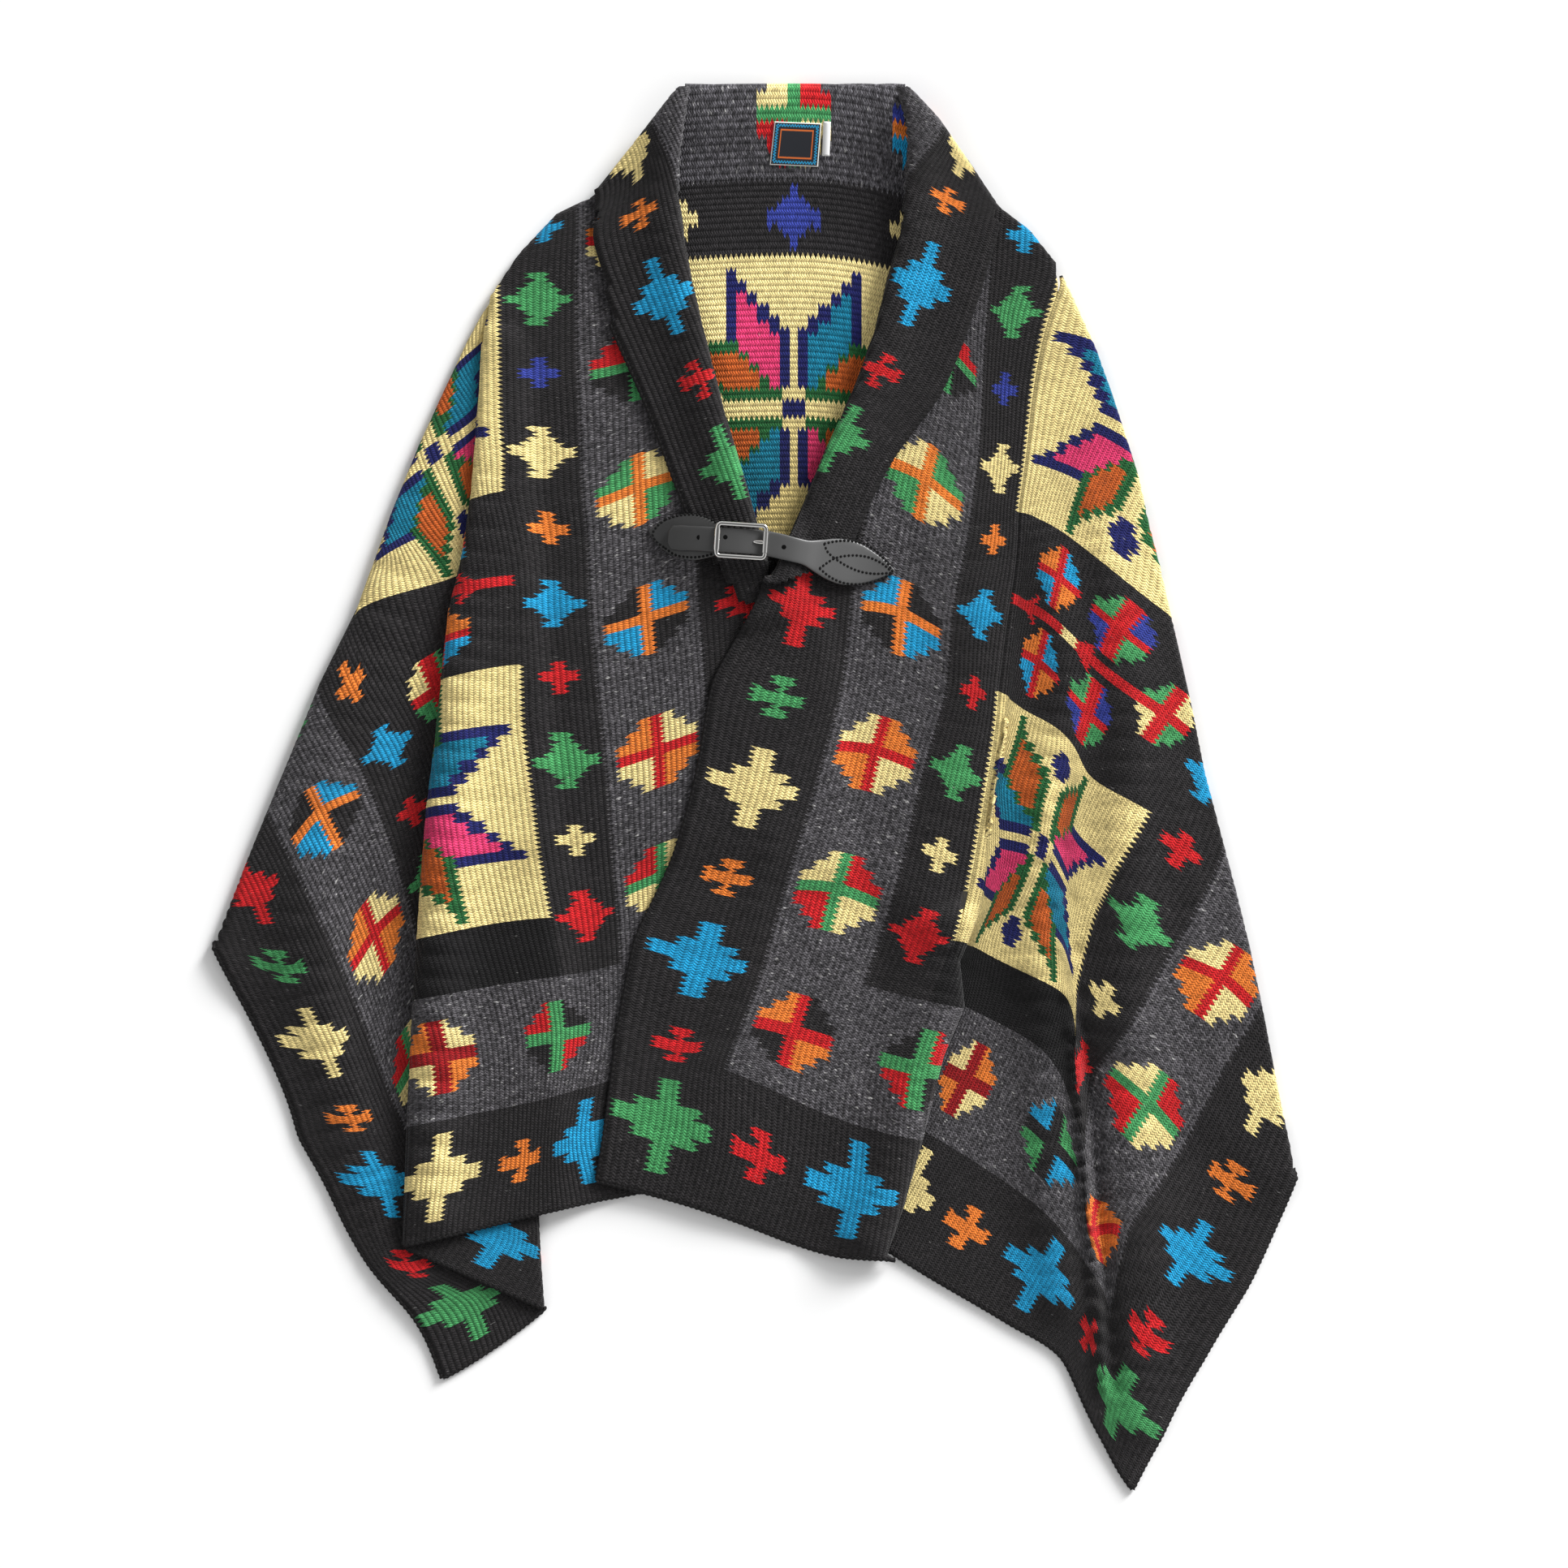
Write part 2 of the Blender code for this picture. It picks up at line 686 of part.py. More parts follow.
def roller(name, height):
    mesh = bpy.data.meshes.new(name)
    work = bmesh.new()
    sides = 16
    loops = []
    for across, radius in (
        (-ROLLER_HALF, ROLLER_INNER), (-ROLLER_HALF, ROLLER_OUTER),
        (ROLLER_HALF, ROLLER_OUTER), (ROLLER_HALF, ROLLER_INNER),
    ):
        loop = []
        for step in range(sides):
            angle = 2 * math.pi * step / sides
            along = BUCKLE_HALF_LENGTH + radius * math.cos(angle)
            spot = np.array(buckle_spot(along, across, height + radius * math.sin(angle)))
            loop.append(work.verts.new(spot * MM))
        loops.append(loop)
    for index in range(4):
        loop = loops[index]
        other = loops[(index + 1) % 4]
        for step in range(sides):
            after = (step + 1) % sides
            work.faces.new((loop[step], loop[after], other[after], other[step]))
    bmesh.ops.recalc_face_normals(work, faces=work.faces)
    work.to_mesh(mesh)
    work.free()
    thing = bpy.data.objects.new(name, mesh)
    bpy.context.scene.collection.objects.link(thing)


def make_patch(name, corners, columns, rows):
    """A flat woven label raised off the points of the back neck under it."""
    corners = np.asarray(corners, float)
    tops = []
    lows = []
    for down in np.linspace(0, 1, rows):
        left = corners[0] + (corners[3] - corners[0]) * down
        right = corners[1] + (corners[2] - corners[1]) * down
        spots = left + np.outer(np.linspace(0, 1, columns), right - left)
        low = back.top(spots) + LABEL_SEAT
        lows.append(np.column_stack([spots, low]))
        tops.append(np.column_stack([spots, low + LABEL_THICK]))
    make_slab(name, np.array(tops), np.array(lows))


make_plate("strap_tab", TAB_SHAPE, TAB_THICK)
make_plate("strap_tongue", STRAP_SHAPE, STRAP_THICK)
path, radii = frame_path(BAR_HEIGHT)
sweep("buckle_frame", path, radii)
roller("buckle_roller", BAR_HEIGHT)
tip_height = BAR_HEIGHT + ROLLER_OUTER + 2 * PRONG_WIRE - 0.3
prong_path = (
    (PRONG_START[0], PRONG_START[1], BAR_HEIGHT + 0.1),
    (PRONG_END[0] - 2.5, PRONG_END[1] + 0.2, tip_height),
    (PRONG_END[0], PRONG_END[1], tip_height),
)
sweep("buckle_prong", prong_path, (PRONG_WIRE, PRONG_WIRE, 0.8 * PRONG_WIRE), 8, closed=False)
make_patch("label_woven", LABEL_CORNERS, 6, 6)
make_patch("label_tag", TAG_CORNERS, 3, 5)

CHARCOAL = (0.013, 0.012, 0.013)
for stretch in (back, left_wing, right_wing, left_pleat, left_front, right_front, left_lapel, right_lapel):
    paint(stretch.name, CHARCOAL, 0.95)
paint("strap_tab", (0.02, 0.02, 0.021), 0.45)
paint("strap_tongue", (0.02, 0.02, 0.021), 0.45)
paint("buckle_frame", (0.72, 0.71, 0.69), 0.2, 1.0)
paint("buckle_roller", (0.72, 0.71, 0.69), 0.2, 1.0)
paint("buckle_prong", (0.72, 0.71, 0.69), 0.2, 1.0)
paint("label_woven", (0.03, 0.03, 0.032), 0.85)
paint("label_tag", (0.75, 0.75, 0.74), 0.85)
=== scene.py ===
"""Blanket poncho laid flat: woven cloth, collar, strap and label, dressed over the plain solids."""
import math

import bmesh
import bpy
import numpy as np
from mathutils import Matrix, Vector


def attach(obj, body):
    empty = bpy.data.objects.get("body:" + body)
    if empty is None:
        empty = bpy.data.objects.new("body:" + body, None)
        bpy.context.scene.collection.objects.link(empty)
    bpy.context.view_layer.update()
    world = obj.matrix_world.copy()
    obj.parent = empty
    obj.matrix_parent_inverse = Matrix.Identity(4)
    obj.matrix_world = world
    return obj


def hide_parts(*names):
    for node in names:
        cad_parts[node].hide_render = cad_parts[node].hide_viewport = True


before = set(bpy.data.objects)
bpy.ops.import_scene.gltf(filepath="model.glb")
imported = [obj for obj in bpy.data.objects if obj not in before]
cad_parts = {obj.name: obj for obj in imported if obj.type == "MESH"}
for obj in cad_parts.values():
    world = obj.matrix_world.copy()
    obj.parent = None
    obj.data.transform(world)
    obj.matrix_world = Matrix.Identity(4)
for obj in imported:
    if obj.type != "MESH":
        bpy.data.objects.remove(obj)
bpy.context.view_layer.update()

MM = 0.001
TINY = 1e-9

# Cloth sizes in millimetres
CLOTH = 3.8
SEAM_GAP = 0.5
SIDE_GAP = 0.35
GAP_START = 0.4
LAPEL_GAP = 1.5
DRAPE_REACH = 62.0
DRAPE_HOLD = 16.0

# Each table is one stretch of the blanket, a row for each section down the garment.
# Columns: left edge x and y, right edge x and y, rise of the row's middle, all in millimetres.
BACK = (
    (-58, 647, 126, 647, 0),
    (-67, 628, 141, 628, 0),
    (-95, 590, 172, 594, 0),
    (-137, 545, 213, 545, 0),
    (-172, 519, 243, 508, 0),
    (-208, 485, 266, 481, 0),
    (-238, 440, 285, 447, 0),
    (-261, 395, 304, 406, 0),
    (-292, 331, 328, 350, 0),
    (-322, 256, 349, 275, 0),
    (-354, 174, 375, 166, 2),
    (-391, 84, 396, 73, 10),
    (-431, -13, 414, -13, 50),
    (-459, -81, 439, -115, 110),
    (-480, -130, 465, -242, 175),
    (-487, -149, 490, -344, 221),
)

LEFT_WING = (
    (-255, 427, -250, 410, 0),
    (-269, 404, -248, 384, 0),
    (-290, 357, -245, 343, 0),
    (-311, 311, -242, 294, 0),
    (-335, 252, -239, 238, 0),
    (-367, 163, -234, 155, 0),
    (-401, 95, -230, 95, 0),
    (-430, 24, -224, 32, 0),
    (-468, -68, -218, -47, 0),
    (-500, -150, -212, -122, 0),
    (-466, -228, -207, -197, 0),
    (-419, -327, -204, -280, 0),
    (-368, -425, -201, -362, 0),
    (-312, -517, -197, -445, 0),
    (-289, -548, -194, -484, 0),
)

LEFT_PLEAT = (
    (-249, 395, -243, 395, 0),
    (-261, 245, -233, 245, 0),
    (-282, 125, -224, 125, 0),
    (-299, -25, -216, -25, 0),
    (-307, -137, -210, -137, 0),
    (-316, -287, -204, -287, 0),
    (-321, -400, -200, -394, 0),
    (-322, -428, -194, -482, 0),
)

LEFT_FRONT = (
    (-69, 635, -62, 638, 0),
    (-98, 601, -68, 605, 0),
    (-124, 571, -71, 575, 0),
    (-150, 543, -72, 538, 0),
    (-183, 527, -70, 511, 0),
    (-218, 490, -64, 487, 0),
    (-244, 451, -58, 447, 0),
    (-252, 406, -45, 406, 0),
    (-256, 343, -31, 346, 0),
    (-262, 268, -8, 268, 0),
    (-271, 208, 20, 200, 0),
    (-283, 159, 36, 140, 0),
    (-289, 100, 45, 88, 0),
    (-295, 41, 50, 28, 0),
    (-303, -23, 53, -25, 0),
    (-309, -98, 56, -100, 0),
    (-316, -203, 59, -197, 2),
    (-322, -327, 64, -302, 5),
    (-325, -425, 75, -362, 11),
)

# The right side is split where the front band meets the shoulder, then along the lower pleat.
RIGHT_FRONT = (
    (132, 639, 141, 641, 0),
    (140, 602, 170, 613, 0),
    (140, 564, 201, 571, 0),
    (137, 530, 225, 534, 0),
    (133, 497, 254, 512, 0),
    (128, 482, 278, 482, 0),
    (122, 447, 281, 448, 0),
    (110, 405, 273, 407, 0),
    (96, 368, 265, 365, 0),
    (80, 337, 255, 328, 0),
    (62, 297, 248, 283, 0),
    (47, 253, 243, 245, 0),
    (29, 216, 238, 200, 0),
    (11, 189, 233, 155, 0),
    (-19, 133, 227, 110, 0),
    (-41, 88, 222, 65, 0),
    (-47, 26, 213, 13, 0),
    (-68, -36, 203, -47, 0),
    (-89, -100, 194, -100, 0),
    (-114, -153, 188, -149, 0),
    (-122, -201, 194, -205, 0),
    (-131, -250, 175, -250, 0),
    (-139, -325, 156, -325, -1),
    (-142, -348, 137, -392, -2),
    (-146, -365, 122, -435, -4),
)
SHOULDER_ROW = 5
PLEAT_ROW = 19
SHOULDER_CORNER = (279.6, 473.0)

RIGHT_WING_EDGE = (
    (281, 477), (295, 448), (315, 403), (330, 361), (342, 324), (355, 283), (364, 241),
    (375, 199), (385, 154), (395, 110), (405, 65), (415, 14), (431, -47), (445, -100), (457, -149),
)
RIGHT_WING_LOW = (
    (172, -195, 470, -212, 0),
    (150, -252, 483, -280, 0),
    (130, -325, 495, -336, 2),
    (118, -375, 499, -362, 8),
    (110, -400, 486, -396, 16),
    (106, -415, 457, -460, 34),
    (103, -424, 411, -536, 50),
    (101, -431, 367, -619, 64),
    (100, -436, 349, -651, 68),
)

LEFT_LAPEL = (
    (-70, 643, -58, 648, 0),
    (-94, 613, -63, 613, 0),
    (-120, 581, -67, 583, 0),
    (-147, 548, -69, 545, 0),
    (-139, 508, -64, 500, 0),
    (-130, 468, -57, 463, 0),
    (-122, 428, -48, 425, 0),
    (-106, 380, -36, 377, 0),
    (-94, 347, -26, 339, 0),
    (-82, 305, -15, 302, 0),
    (-66, 268, -4, 266, 0),
    (-46, 230, 5, 234, 0),
    (-28, 200, 13, 204, 0),
    (-9, 172, 15, 179, 0),
)
RIGHT_LAPEL = (
    (128, 647, 143, 641, 0),
    (137, 613, 170, 613, 0),
    (140, 587, 193, 581, 0),
    (137, 557, 224, 536, 0),
    (134, 508, 212, 500, 0),
    (122, 467, 198, 467, 0),
    (110, 418, 187, 419, 0),
    (94, 373, 165, 377, 0),
    (79, 339, 149, 341, 0),
    (62, 302, 131, 302, 0),
    (45, 260, 111, 268, 0),
    (29, 223, 83, 229, 0),
    (19, 200, 53, 204, 0),
    (13, 191, 26, 191, 0),
)

# Main folds. Columns: x and y of a point on the crest, crest height there, half width of the fold.
FRONT_FOLD_LEFT = (
    (-236, 330, 1, 22),
    (-247, 208, 6, 26),
    (-266, 100, 11, 27),
    (-279, -23, 14, 28),
    (-287, -120, 14, 27),
    (-293, -240, 12, 26),
    (-298, -390, 10, 26),
)
LEFT_FRONT_SOFT = (
    (-150, 330, 2, 45),
    (-160, 120, 5, 48),
    (-175, -110, 3, 52),
    (-150, -330, 5, 50),
)
WING_RIDGE_LEFT = (
    (-300, 300, 2, 22),
    (-352, 120, 7, 32),
    (-392, 0, 11, 38),
    (-412, -130, 12, 38),
    (-388, -270, 9, 28),
    (-352, -400, 5, 22),
    (-318, -490, 2, 20),
)
FRONT_FOLD_RIGHT = (
    (186, -130, 3, 24),
    (170, -215, 10, 26),
    (150, -270, 13, 27),
    (128, -350, 13, 27),
    (104, -415, 11, 26),
)
RIGHT_FRONT_SOFT = (
    (190, 330, 2, 34),
    (203, 150, 7, 36),
    (188, 10, 8, 38),
    (150, -110, 6, 40),
)
RIGHT_HEM_SOFT = (
    (20, 40, 1, 46),
    (-10, -120, 4, 48),
    (-30, -330, 6, 46),
)
VALLEY_SIDE_LEFT = (
    (262, 260, 1, 24),
    (274, 190, 7, 24),
    (284, 90, 9, 24),
    (268, -20, 10, 26),
    (264, -130, 9, 26),
    (270, -250, 9, 28),
    (276, -370, 10, 28),
    (284, -470, 9, 24),
)
VALLEY_SIDE_RIGHT = (
    (318, 260, 2, 28),
    (334, 170, 9, 30),
    (346, 50, 12, 34),
    (346, -70, 13, 36),
    (344, -200, 12, 36),
    (350, -340, 12, 38),
    (356, -470, 11, 36),
    (352, -580, 8, 26),
)


def curve_rows(table, count, straight=()):
    """Smooth rows between the sections, first and last kept; straight columns stay linear."""
    rows = np.asarray(table, float)
    last = len(rows) - 1
    places = np.linspace(0, last, count)
    base = np.minimum(places.astype(int), last - 1)
    part = (places - base)[:, None]
    before = rows[np.maximum(base - 1, 0)]
    here = rows[base]
    after = rows[base + 1]
    beyond = rows[np.minimum(base + 2, last)]
    slope_in = (after - before) / 2
    slope_out = (beyond - here) / 2
    cube = 2 * part**3 - 3 * part**2 + 1
    smooth = (
        cube * here
        + (part**3 - 2 * part**2 + part) * slope_in
        + (1 - cube) * after
        + (part**3 - part**2) * slope_out
    )
    linear = here + part * (after - here)
    for column in straight:
        smooth[:, column] = linear[:, column]
    return smooth


def lean(share):
    """The bow of a row, fullest past its middle as the hem is."""
    return np.sin(math.pi * share**1.35)


def even_bow(share):
    return 4 * share * (1 - share)


def outline(sections, bow):
    shares = np.linspace(0, 1, 9)
    top = row_points(sections[0], shares, bow)
    low = row_points(sections[-1], shares, bow)
    left = sections[1:-1, 0:2]
    right = sections[1:-1, 2:4]
    return np.vstack([top, right, low[::-1], left[::-1]])


def row_points(section, shares, bow):
    left_x, left_y, right_x, right_y, rise = section
    xs = left_x + (right_x - left_x) * shares
    ys = left_y + (right_y - left_y) * shares + rise * bow(shares)
    return np.stack([xs, ys], axis=1)


def beside(points, start, edge):
    """Each point's share along each edge, and its gap to it."""
    length = np.maximum((edge**2).sum(1), TINY)
    offset = points[:, None, :] - start[None]
    along = np.clip((offset * edge[None]).sum(2) / length, 0, 1)
    return along, offset - along[..., None] * edge[None]


def inside_depth(points, ring):
    """Distance from the ring's edge, positive inside."""
    start = ring
    end = np.roll(ring, -1, axis=0)
    edge = end - start
    gap = beside(points, start, edge)[1]
    distance = np.sqrt((gap**2).sum(2)).min(1)
    py = points[:, 1][:, None]
    px = points[:, 0][:, None]
    crosses = (start[None, :, 1] > py) != (end[None, :, 1] > py)
    rise = np.where(np.abs(edge[:, 1]) < TINY, TINY, edge[:, 1])
    meet = start[None, :, 0] + (py - start[None, :, 1]) * edge[None, :, 0] / rise[None]
    inside = (crosses & (px < meet)).sum(1) % 2 == 1
    return np.where(inside, distance, -distance)


def soft_step(value):
    value = np.clip(value, 0, 1)
    return value * value * (3 - 2 * value)


def fold_height(points, table):
    """Height of one soft fold at the given points."""
    crest = curve_rows(table, 5 * len(table))
    gap = points[:, None, :] - crest[None, :, 0:2]
    distance = np.sqrt((gap**2).sum(2))
    near = distance.argmin(1)
    reach = distance.min(1) / crest[near, 3]
    return crest[near, 2] * np.exp(-(reach**2))


def hold_near(points, ring):
    """How much of its height a layer lends to the next one, fading out past its edge."""
    return soft_step((inside_depth(points, ring) + DRAPE_REACH) / (DRAPE_REACH - DRAPE_HOLD))


class Stretch:
    """One stretch of the blanket, lying on the stretches below it."""

    def __init__(self, table, folds, below, rows, bow=even_bow, lift=None, straight=()):
        self.sections = curve_rows(table, rows, straight)
        self.folds = folds
        self.below = below
        self.bow = bow
        self.lift = lift
        self.thick = CLOTH
        self.gap = LAPEL_GAP if lift is not None and below else SEAM_GAP
        self.ring = outline(self.sections, bow)

    def floor(self, points):
        height = np.zeros(len(points))
        for lower in self.below:
            height = np.maximum(height, lower.cover(points))
        return height + self.gap * np.clip(height / GAP_START, 0, 1)

    def top(self, points):
        height = self.floor(points) + self.thick
        for fold in self.folds:
            height = height + fold_height(points, fold)
        if self.lift is not None:
            height = height + self.lift(self, points)
        return height

    def cover(self, points):
        return self.top(points) * hold_near(points, self.ring)


class Underlap:
    """The hidden edge of a pleat that another stretch rests on."""

    def __init__(self, owner, ring):
        self.owner = owner
        self.ring = np.asarray(ring, float)

    def cover(self, points):
        return self.owner.top(points) * hold_near(points, self.ring)


# Rise, foot and reach of the roll at the back neck, in millimetres
NECK_RISE = 9.0
NECK_FOOT = 545
NECK_REACH = 80


def neck_roll(stretch, points):
    """The collar is turned under the back neck, so the back stands higher there."""
    return NECK_RISE * soft_step((points[:, 1] - NECK_FOOT) / NECK_REACH)


def lapel_roll(inner_side):
    def lift(stretch, points):
        inner = stretch.sections[:, inner_side:inner_side + 2]
        gap = points[:, None, :] - inner[None]
        distance = np.sqrt((gap**2).sum(2)).min(1)
        flat = soft_step((points[:, 1] - 200) / 110)
        return (1.5 + 7.5 * flat) * np.exp(-((distance - 13) / 24) ** 2)
    return lift


# The stretches, lowest first
def right_wing_table():
    rows = []
    seam = RIGHT_FRONT[SHOULDER_ROW:PLEAT_ROW + 1]
    for index, (edge, section) in enumerate(zip(RIGHT_WING_EDGE, seam)):
        left = (section[2] + SIDE_GAP, section[3]) if index > 0 else SHOULDER_CORNER
        rows.append((*left, *edge, 0))
    return tuple(rows) + RIGHT_WING_LOW


WING_FOLDS = (RIGHT_FRONT_SOFT, VALLEY_SIDE_LEFT, VALLEY_SIDE_RIGHT)
PLEAT_UNDERLAP = (
    (188, -149), (196, -205), (177, -252), (158, -327), (139, -394), (124, -440),
    (98, -440), (108, -400), (128, -326), (148, -253), (168, -197),
)

back = Stretch(BACK, (), (), 26, lift=neck_roll)
left_wing = Stretch(LEFT_WING, (WING_RIDGE_LEFT,), (back,), 31)
right_wing = Stretch(right_wing_table(), WING_FOLDS, (back,), 47, bow=lean, straight=(0, 1))
left_pleat = Stretch(LEFT_PLEAT, (), (left_wing,), 34)
left_front = Stretch(LEFT_FRONT, (FRONT_FOLD_LEFT, LEFT_FRONT_SOFT), (back, left_wing, left_pleat), 37)
left_lapel = Stretch(LEFT_LAPEL, (), (left_front, back), 27, lift=lapel_roll(2))
right_front = Stretch(
    RIGHT_FRONT, (FRONT_FOLD_RIGHT, RIGHT_FRONT_SOFT, VALLEY_SIDE_LEFT, RIGHT_HEM_SOFT),
    (back, left_front, left_lapel, Underlap(right_wing, PLEAT_UNDERLAP)), 49, straight=(2, 3),
)
right_lapel = Stretch(RIGHT_LAPEL, (), (right_front, left_lapel, back), 27, lift=lapel_roll(0))

# The blanket's own coordinates are in steps of 0.75 mm: s along it from the nearer hem,
# v across it from the front edge. x and y are steps right and down on the garment.
STEP = 0.75
ORIGIN_X = 930.0
ORIGIN_Y = 967.0
LONG = 3120.0
HIGH = 1026.0
RIB = HIGH / 146
WEFT = 3.15
SEAM_RIB = 48

# Tie points. Columns: s, v, x, y
RIGHT_FRONT_TIES = (
    (75, 57, 822, 1383), (181, 57, 838, 1290), (287, 57, 868, 1183), (393, 57, 898, 1083),
    (499, 57, 932, 972), (605, 57, 962, 862), (711, 57, 987, 750), (758, 57, 991, 705),
    (0, 0, 736, 1454), (75, 0, 750, 1361), (181, 0, 762, 1267), (287, 0, 784, 1157),
    (393, 0, 828, 1062), (499, 0, 860, 950), (605, 0, 881, 838), (711, 0, 940, 728),
    (0, 171, 914, 1506), (0, 285, 1032, 1546), (0, 340, 1092, 1550),
    (75, 171, 938, 1425), (75, 285, 1050, 1468), (145, 125, 896, 1318),
    (222, 186, 977, 1270), (389.3, 186, 1030, 1095), (556.6, 186, 1078, 925),
    (723.9, 186, 1110, 755), (891.2, 186, 1140, 590), (1058.5, 186, 1170, 435),
    (222, 349.5, 1130, 1315),
    (373, 292, 1133, 1155), (471.9, 292, 1158, 1053), (570.8, 292, 1178, 952),
    (669.7, 292, 1200, 852), (768.6, 292, 1208, 755), (867.5, 292, 1225, 665),
    (966.4, 292, 1232, 578), (1065.3, 292, 1237, 480), (1164.2, 292, 1247, 385),
    (1263.1, 292, 1262, 293),
    (669.7, 262, 1177, 850), (768.6, 262, 1185, 753), (867.5, 262, 1203, 663), (966.4, 262, 1213, 576),
    (1065.3, 262, 1218, 478), (1164.2, 262, 1226, 383),
    (375, 337, 1177, 1158), (686, 337, 1229, 853), (908, 337, 1254, 631), (1210, 337, 1309, 342),
)
RIGHT_WING_TIES = (
    (375, 337, 1177, 1158), (686, 337, 1229, 853), (908, 337, 1254, 631), (1210, 337, 1309, 342),
    (669.7, 292, 1200, 852), (768.6, 292, 1208, 755), (867.5, 292, 1225, 665),
    (966.4, 292, 1232, 578), (1065.3, 292, 1237, 480), (1164.2, 292, 1247, 385),
    (471.9, 292, 1158, 1053), (570.8, 292, 1178, 952),
    (530.5, 513, 1284, 1043), (639.5, 513, 1311, 944), (421.5, 513, 1244, 1146),
    (530.5, 419, 1231, 1027), (590.5, 443, 1237, 966), (450.5, 432, 1223, 1108),
    (608.5, 594, 1320, 1021), (542.5, 606, 1316, 1082),
    (608.5, 344, 1221, 934), (452.5, 344, 1200, 1090),
    (675, 446, 1263, 890), (675, 584, 1334, 962), (386, 446, 1205, 1158), (386, 584, 1296, 1204),
    (608.5, 682, 1362, 1066), (452.5, 682, 1322, 1203), (686, 689, 1411, 998),
    (375, 689, 1325, 1265), (530, 689, 1345, 1125),
    (981, 344, 1275, 570), (1137, 344, 1308, 418), (950, 513, 1381, 662), (908, 560, 1430, 750),
    (852, 438, 1303, 712), (742, 438, 1278, 815), (852, 542, 1377, 775), (742, 542, 1340, 880),
    (797, 640, 1435, 880), (797, 346, 1243, 739),
    (373, 734, 1331, 1318), (471.9, 734, 1358, 1233), (570.8, 734, 1402, 1140),
    (669.7, 734, 1455, 1047), (768.6, 734, 1490, 962),
    (389.3, 840, 1415, 1360), (556.6, 840, 1505, 1205),
    (75, 969, 1371, 1724), (181, 969, 1408, 1645), (287, 969, 1468, 1548), (393, 969, 1513, 1455),
    (499, 969, 1560, 1352),
    (75, 627, 1190, 1512), (75, 741, 1285, 1570), (75, 855, 1343, 1645),
    (222, 676.5, 1296, 1408), (222, 513, 1190, 1330), (222, 717, 1324, 1440), (222, 795, 1338, 1505),
    (222, 840, 1346, 1517), (222, 888, 1378, 1512), (268, 840, 1351, 1478), (176, 840, 1358, 1556),
    (373, 767, 1342, 1316), (373, 700, 1322, 1302),
    (0, 627, 1155, 1578), (0, 741, 1250, 1634), (0, 855, 1312, 1677), (0, 969, 1362, 1779),
    (0, 1026, 1395, 1835), (75, 1026, 1431, 1768), (181, 1026, 1481, 1676), (287, 1026, 1536, 1585),
    (393, 1026, 1580, 1490), (440, 1026, 1598, 1445),
)
LEFT_FRONT_TIES = (
    (373, 292, 723, 1130), (471.9, 292, 710, 1035), (570.8, 292, 700, 940), (669.7, 292, 690, 835),
    (768.6, 292, 682, 745), (867.5, 292, 677, 652), (966.4, 292, 670, 560), (1065.3, 292, 665, 460),
    (1164.2, 292, 665, 370), (1263.1, 292, 672, 285),
    (768.6, 262, 715, 745), (867.5, 262, 710, 652), (966.4, 262, 703, 560), (1065.3, 262, 698, 460),
    (1164.2, 262, 698, 370),
    (389.3, 186, 815, 1080), (556.6, 186, 812, 925), (723.9, 186, 797, 762), (891.2, 186, 788, 600),
    (1058.5, 186, 784, 450), (1225.8, 186, 764, 298), (1225.8, 247, 714, 298),
    (222, 349.5, 690, 1275), (222, 513, 545, 1300),
    (75, 285, 720, 1405), (75, 399, 645, 1428), (75, 513, 543, 1450),
    (608.5, 344, 634, 898), (452.5, 344, 654, 1053), (530.5, 513, 476, 1000),
    (686, 337, 640, 820), (375, 337, 676, 1130), (686, 432, 545, 838), (375, 500, 515, 1156),
    (0, 228, 790, 1468), (0, 285, 736, 1478), (0, 399, 638, 1500), (0, 513, 534, 1525),
    (0, 558, 495, 1534),
    (742, 438, 541, 790), (797, 346, 629, 716), (797, 409, 566, 727),
    (908, 337, 617, 606), (908, 372, 588, 614), (966, 337, 617, 556), (981, 347, 603, 535),
    (1065, 337, 613, 462), (1164, 337, 611, 370), (1184, 337, 610, 350),
)
LEFT_WING_TIES = (
    (181, 969, 505, 1562), (287, 969, 470, 1455), (393, 969, 437, 1380), (499, 969, 395, 1285),
    (605, 969, 352, 1195), (711, 969, 312, 1100), (389.3, 840, 510, 1310), (556.6, 840, 462, 1150),
    (723.9, 840, 397, 1000), (669.7, 734, 510, 1000), (768.6, 734, 480, 920), (867.5, 734, 435, 845),
    (908, 689, 441, 751), (908, 579, 562, 710), (1059, 513, 534, 559),
    (950, 513, 577, 650), (992, 589, 508, 652), (975, 679, 463, 695), (1137, 423, 567, 451),
    (981, 372, 588, 532), (1059, 442, 591, 517), (797, 640, 540, 850),
    (768.6, 779, 441, 943), (867.5, 779, 397, 868), (891, 840, 338, 882), (1204, 360, 608, 372),
    (75, 969, 575, 1605), (0, 1026, 545, 1698), (195, 1026, 440, 1533), (343, 1026, 371, 1403),
    (602, 1026, 264, 1167), (0, 871, 672, 1612),
)
LEFT_PLEAT_TIES = (
    (75, 741, 620, 1525), (0, 745, 590, 1576), (0, 648, 495, 1534), (0, 832, 672, 1612),
    (300, 741, 560, 1310), (300, 660, 500, 1290),
)


def to_mm(x, y):
    return (np.asarray(x) - ORIGIN_X) * STEP, (ORIGIN_Y - np.asarray(y)) * STEP


STIFF = 200.0


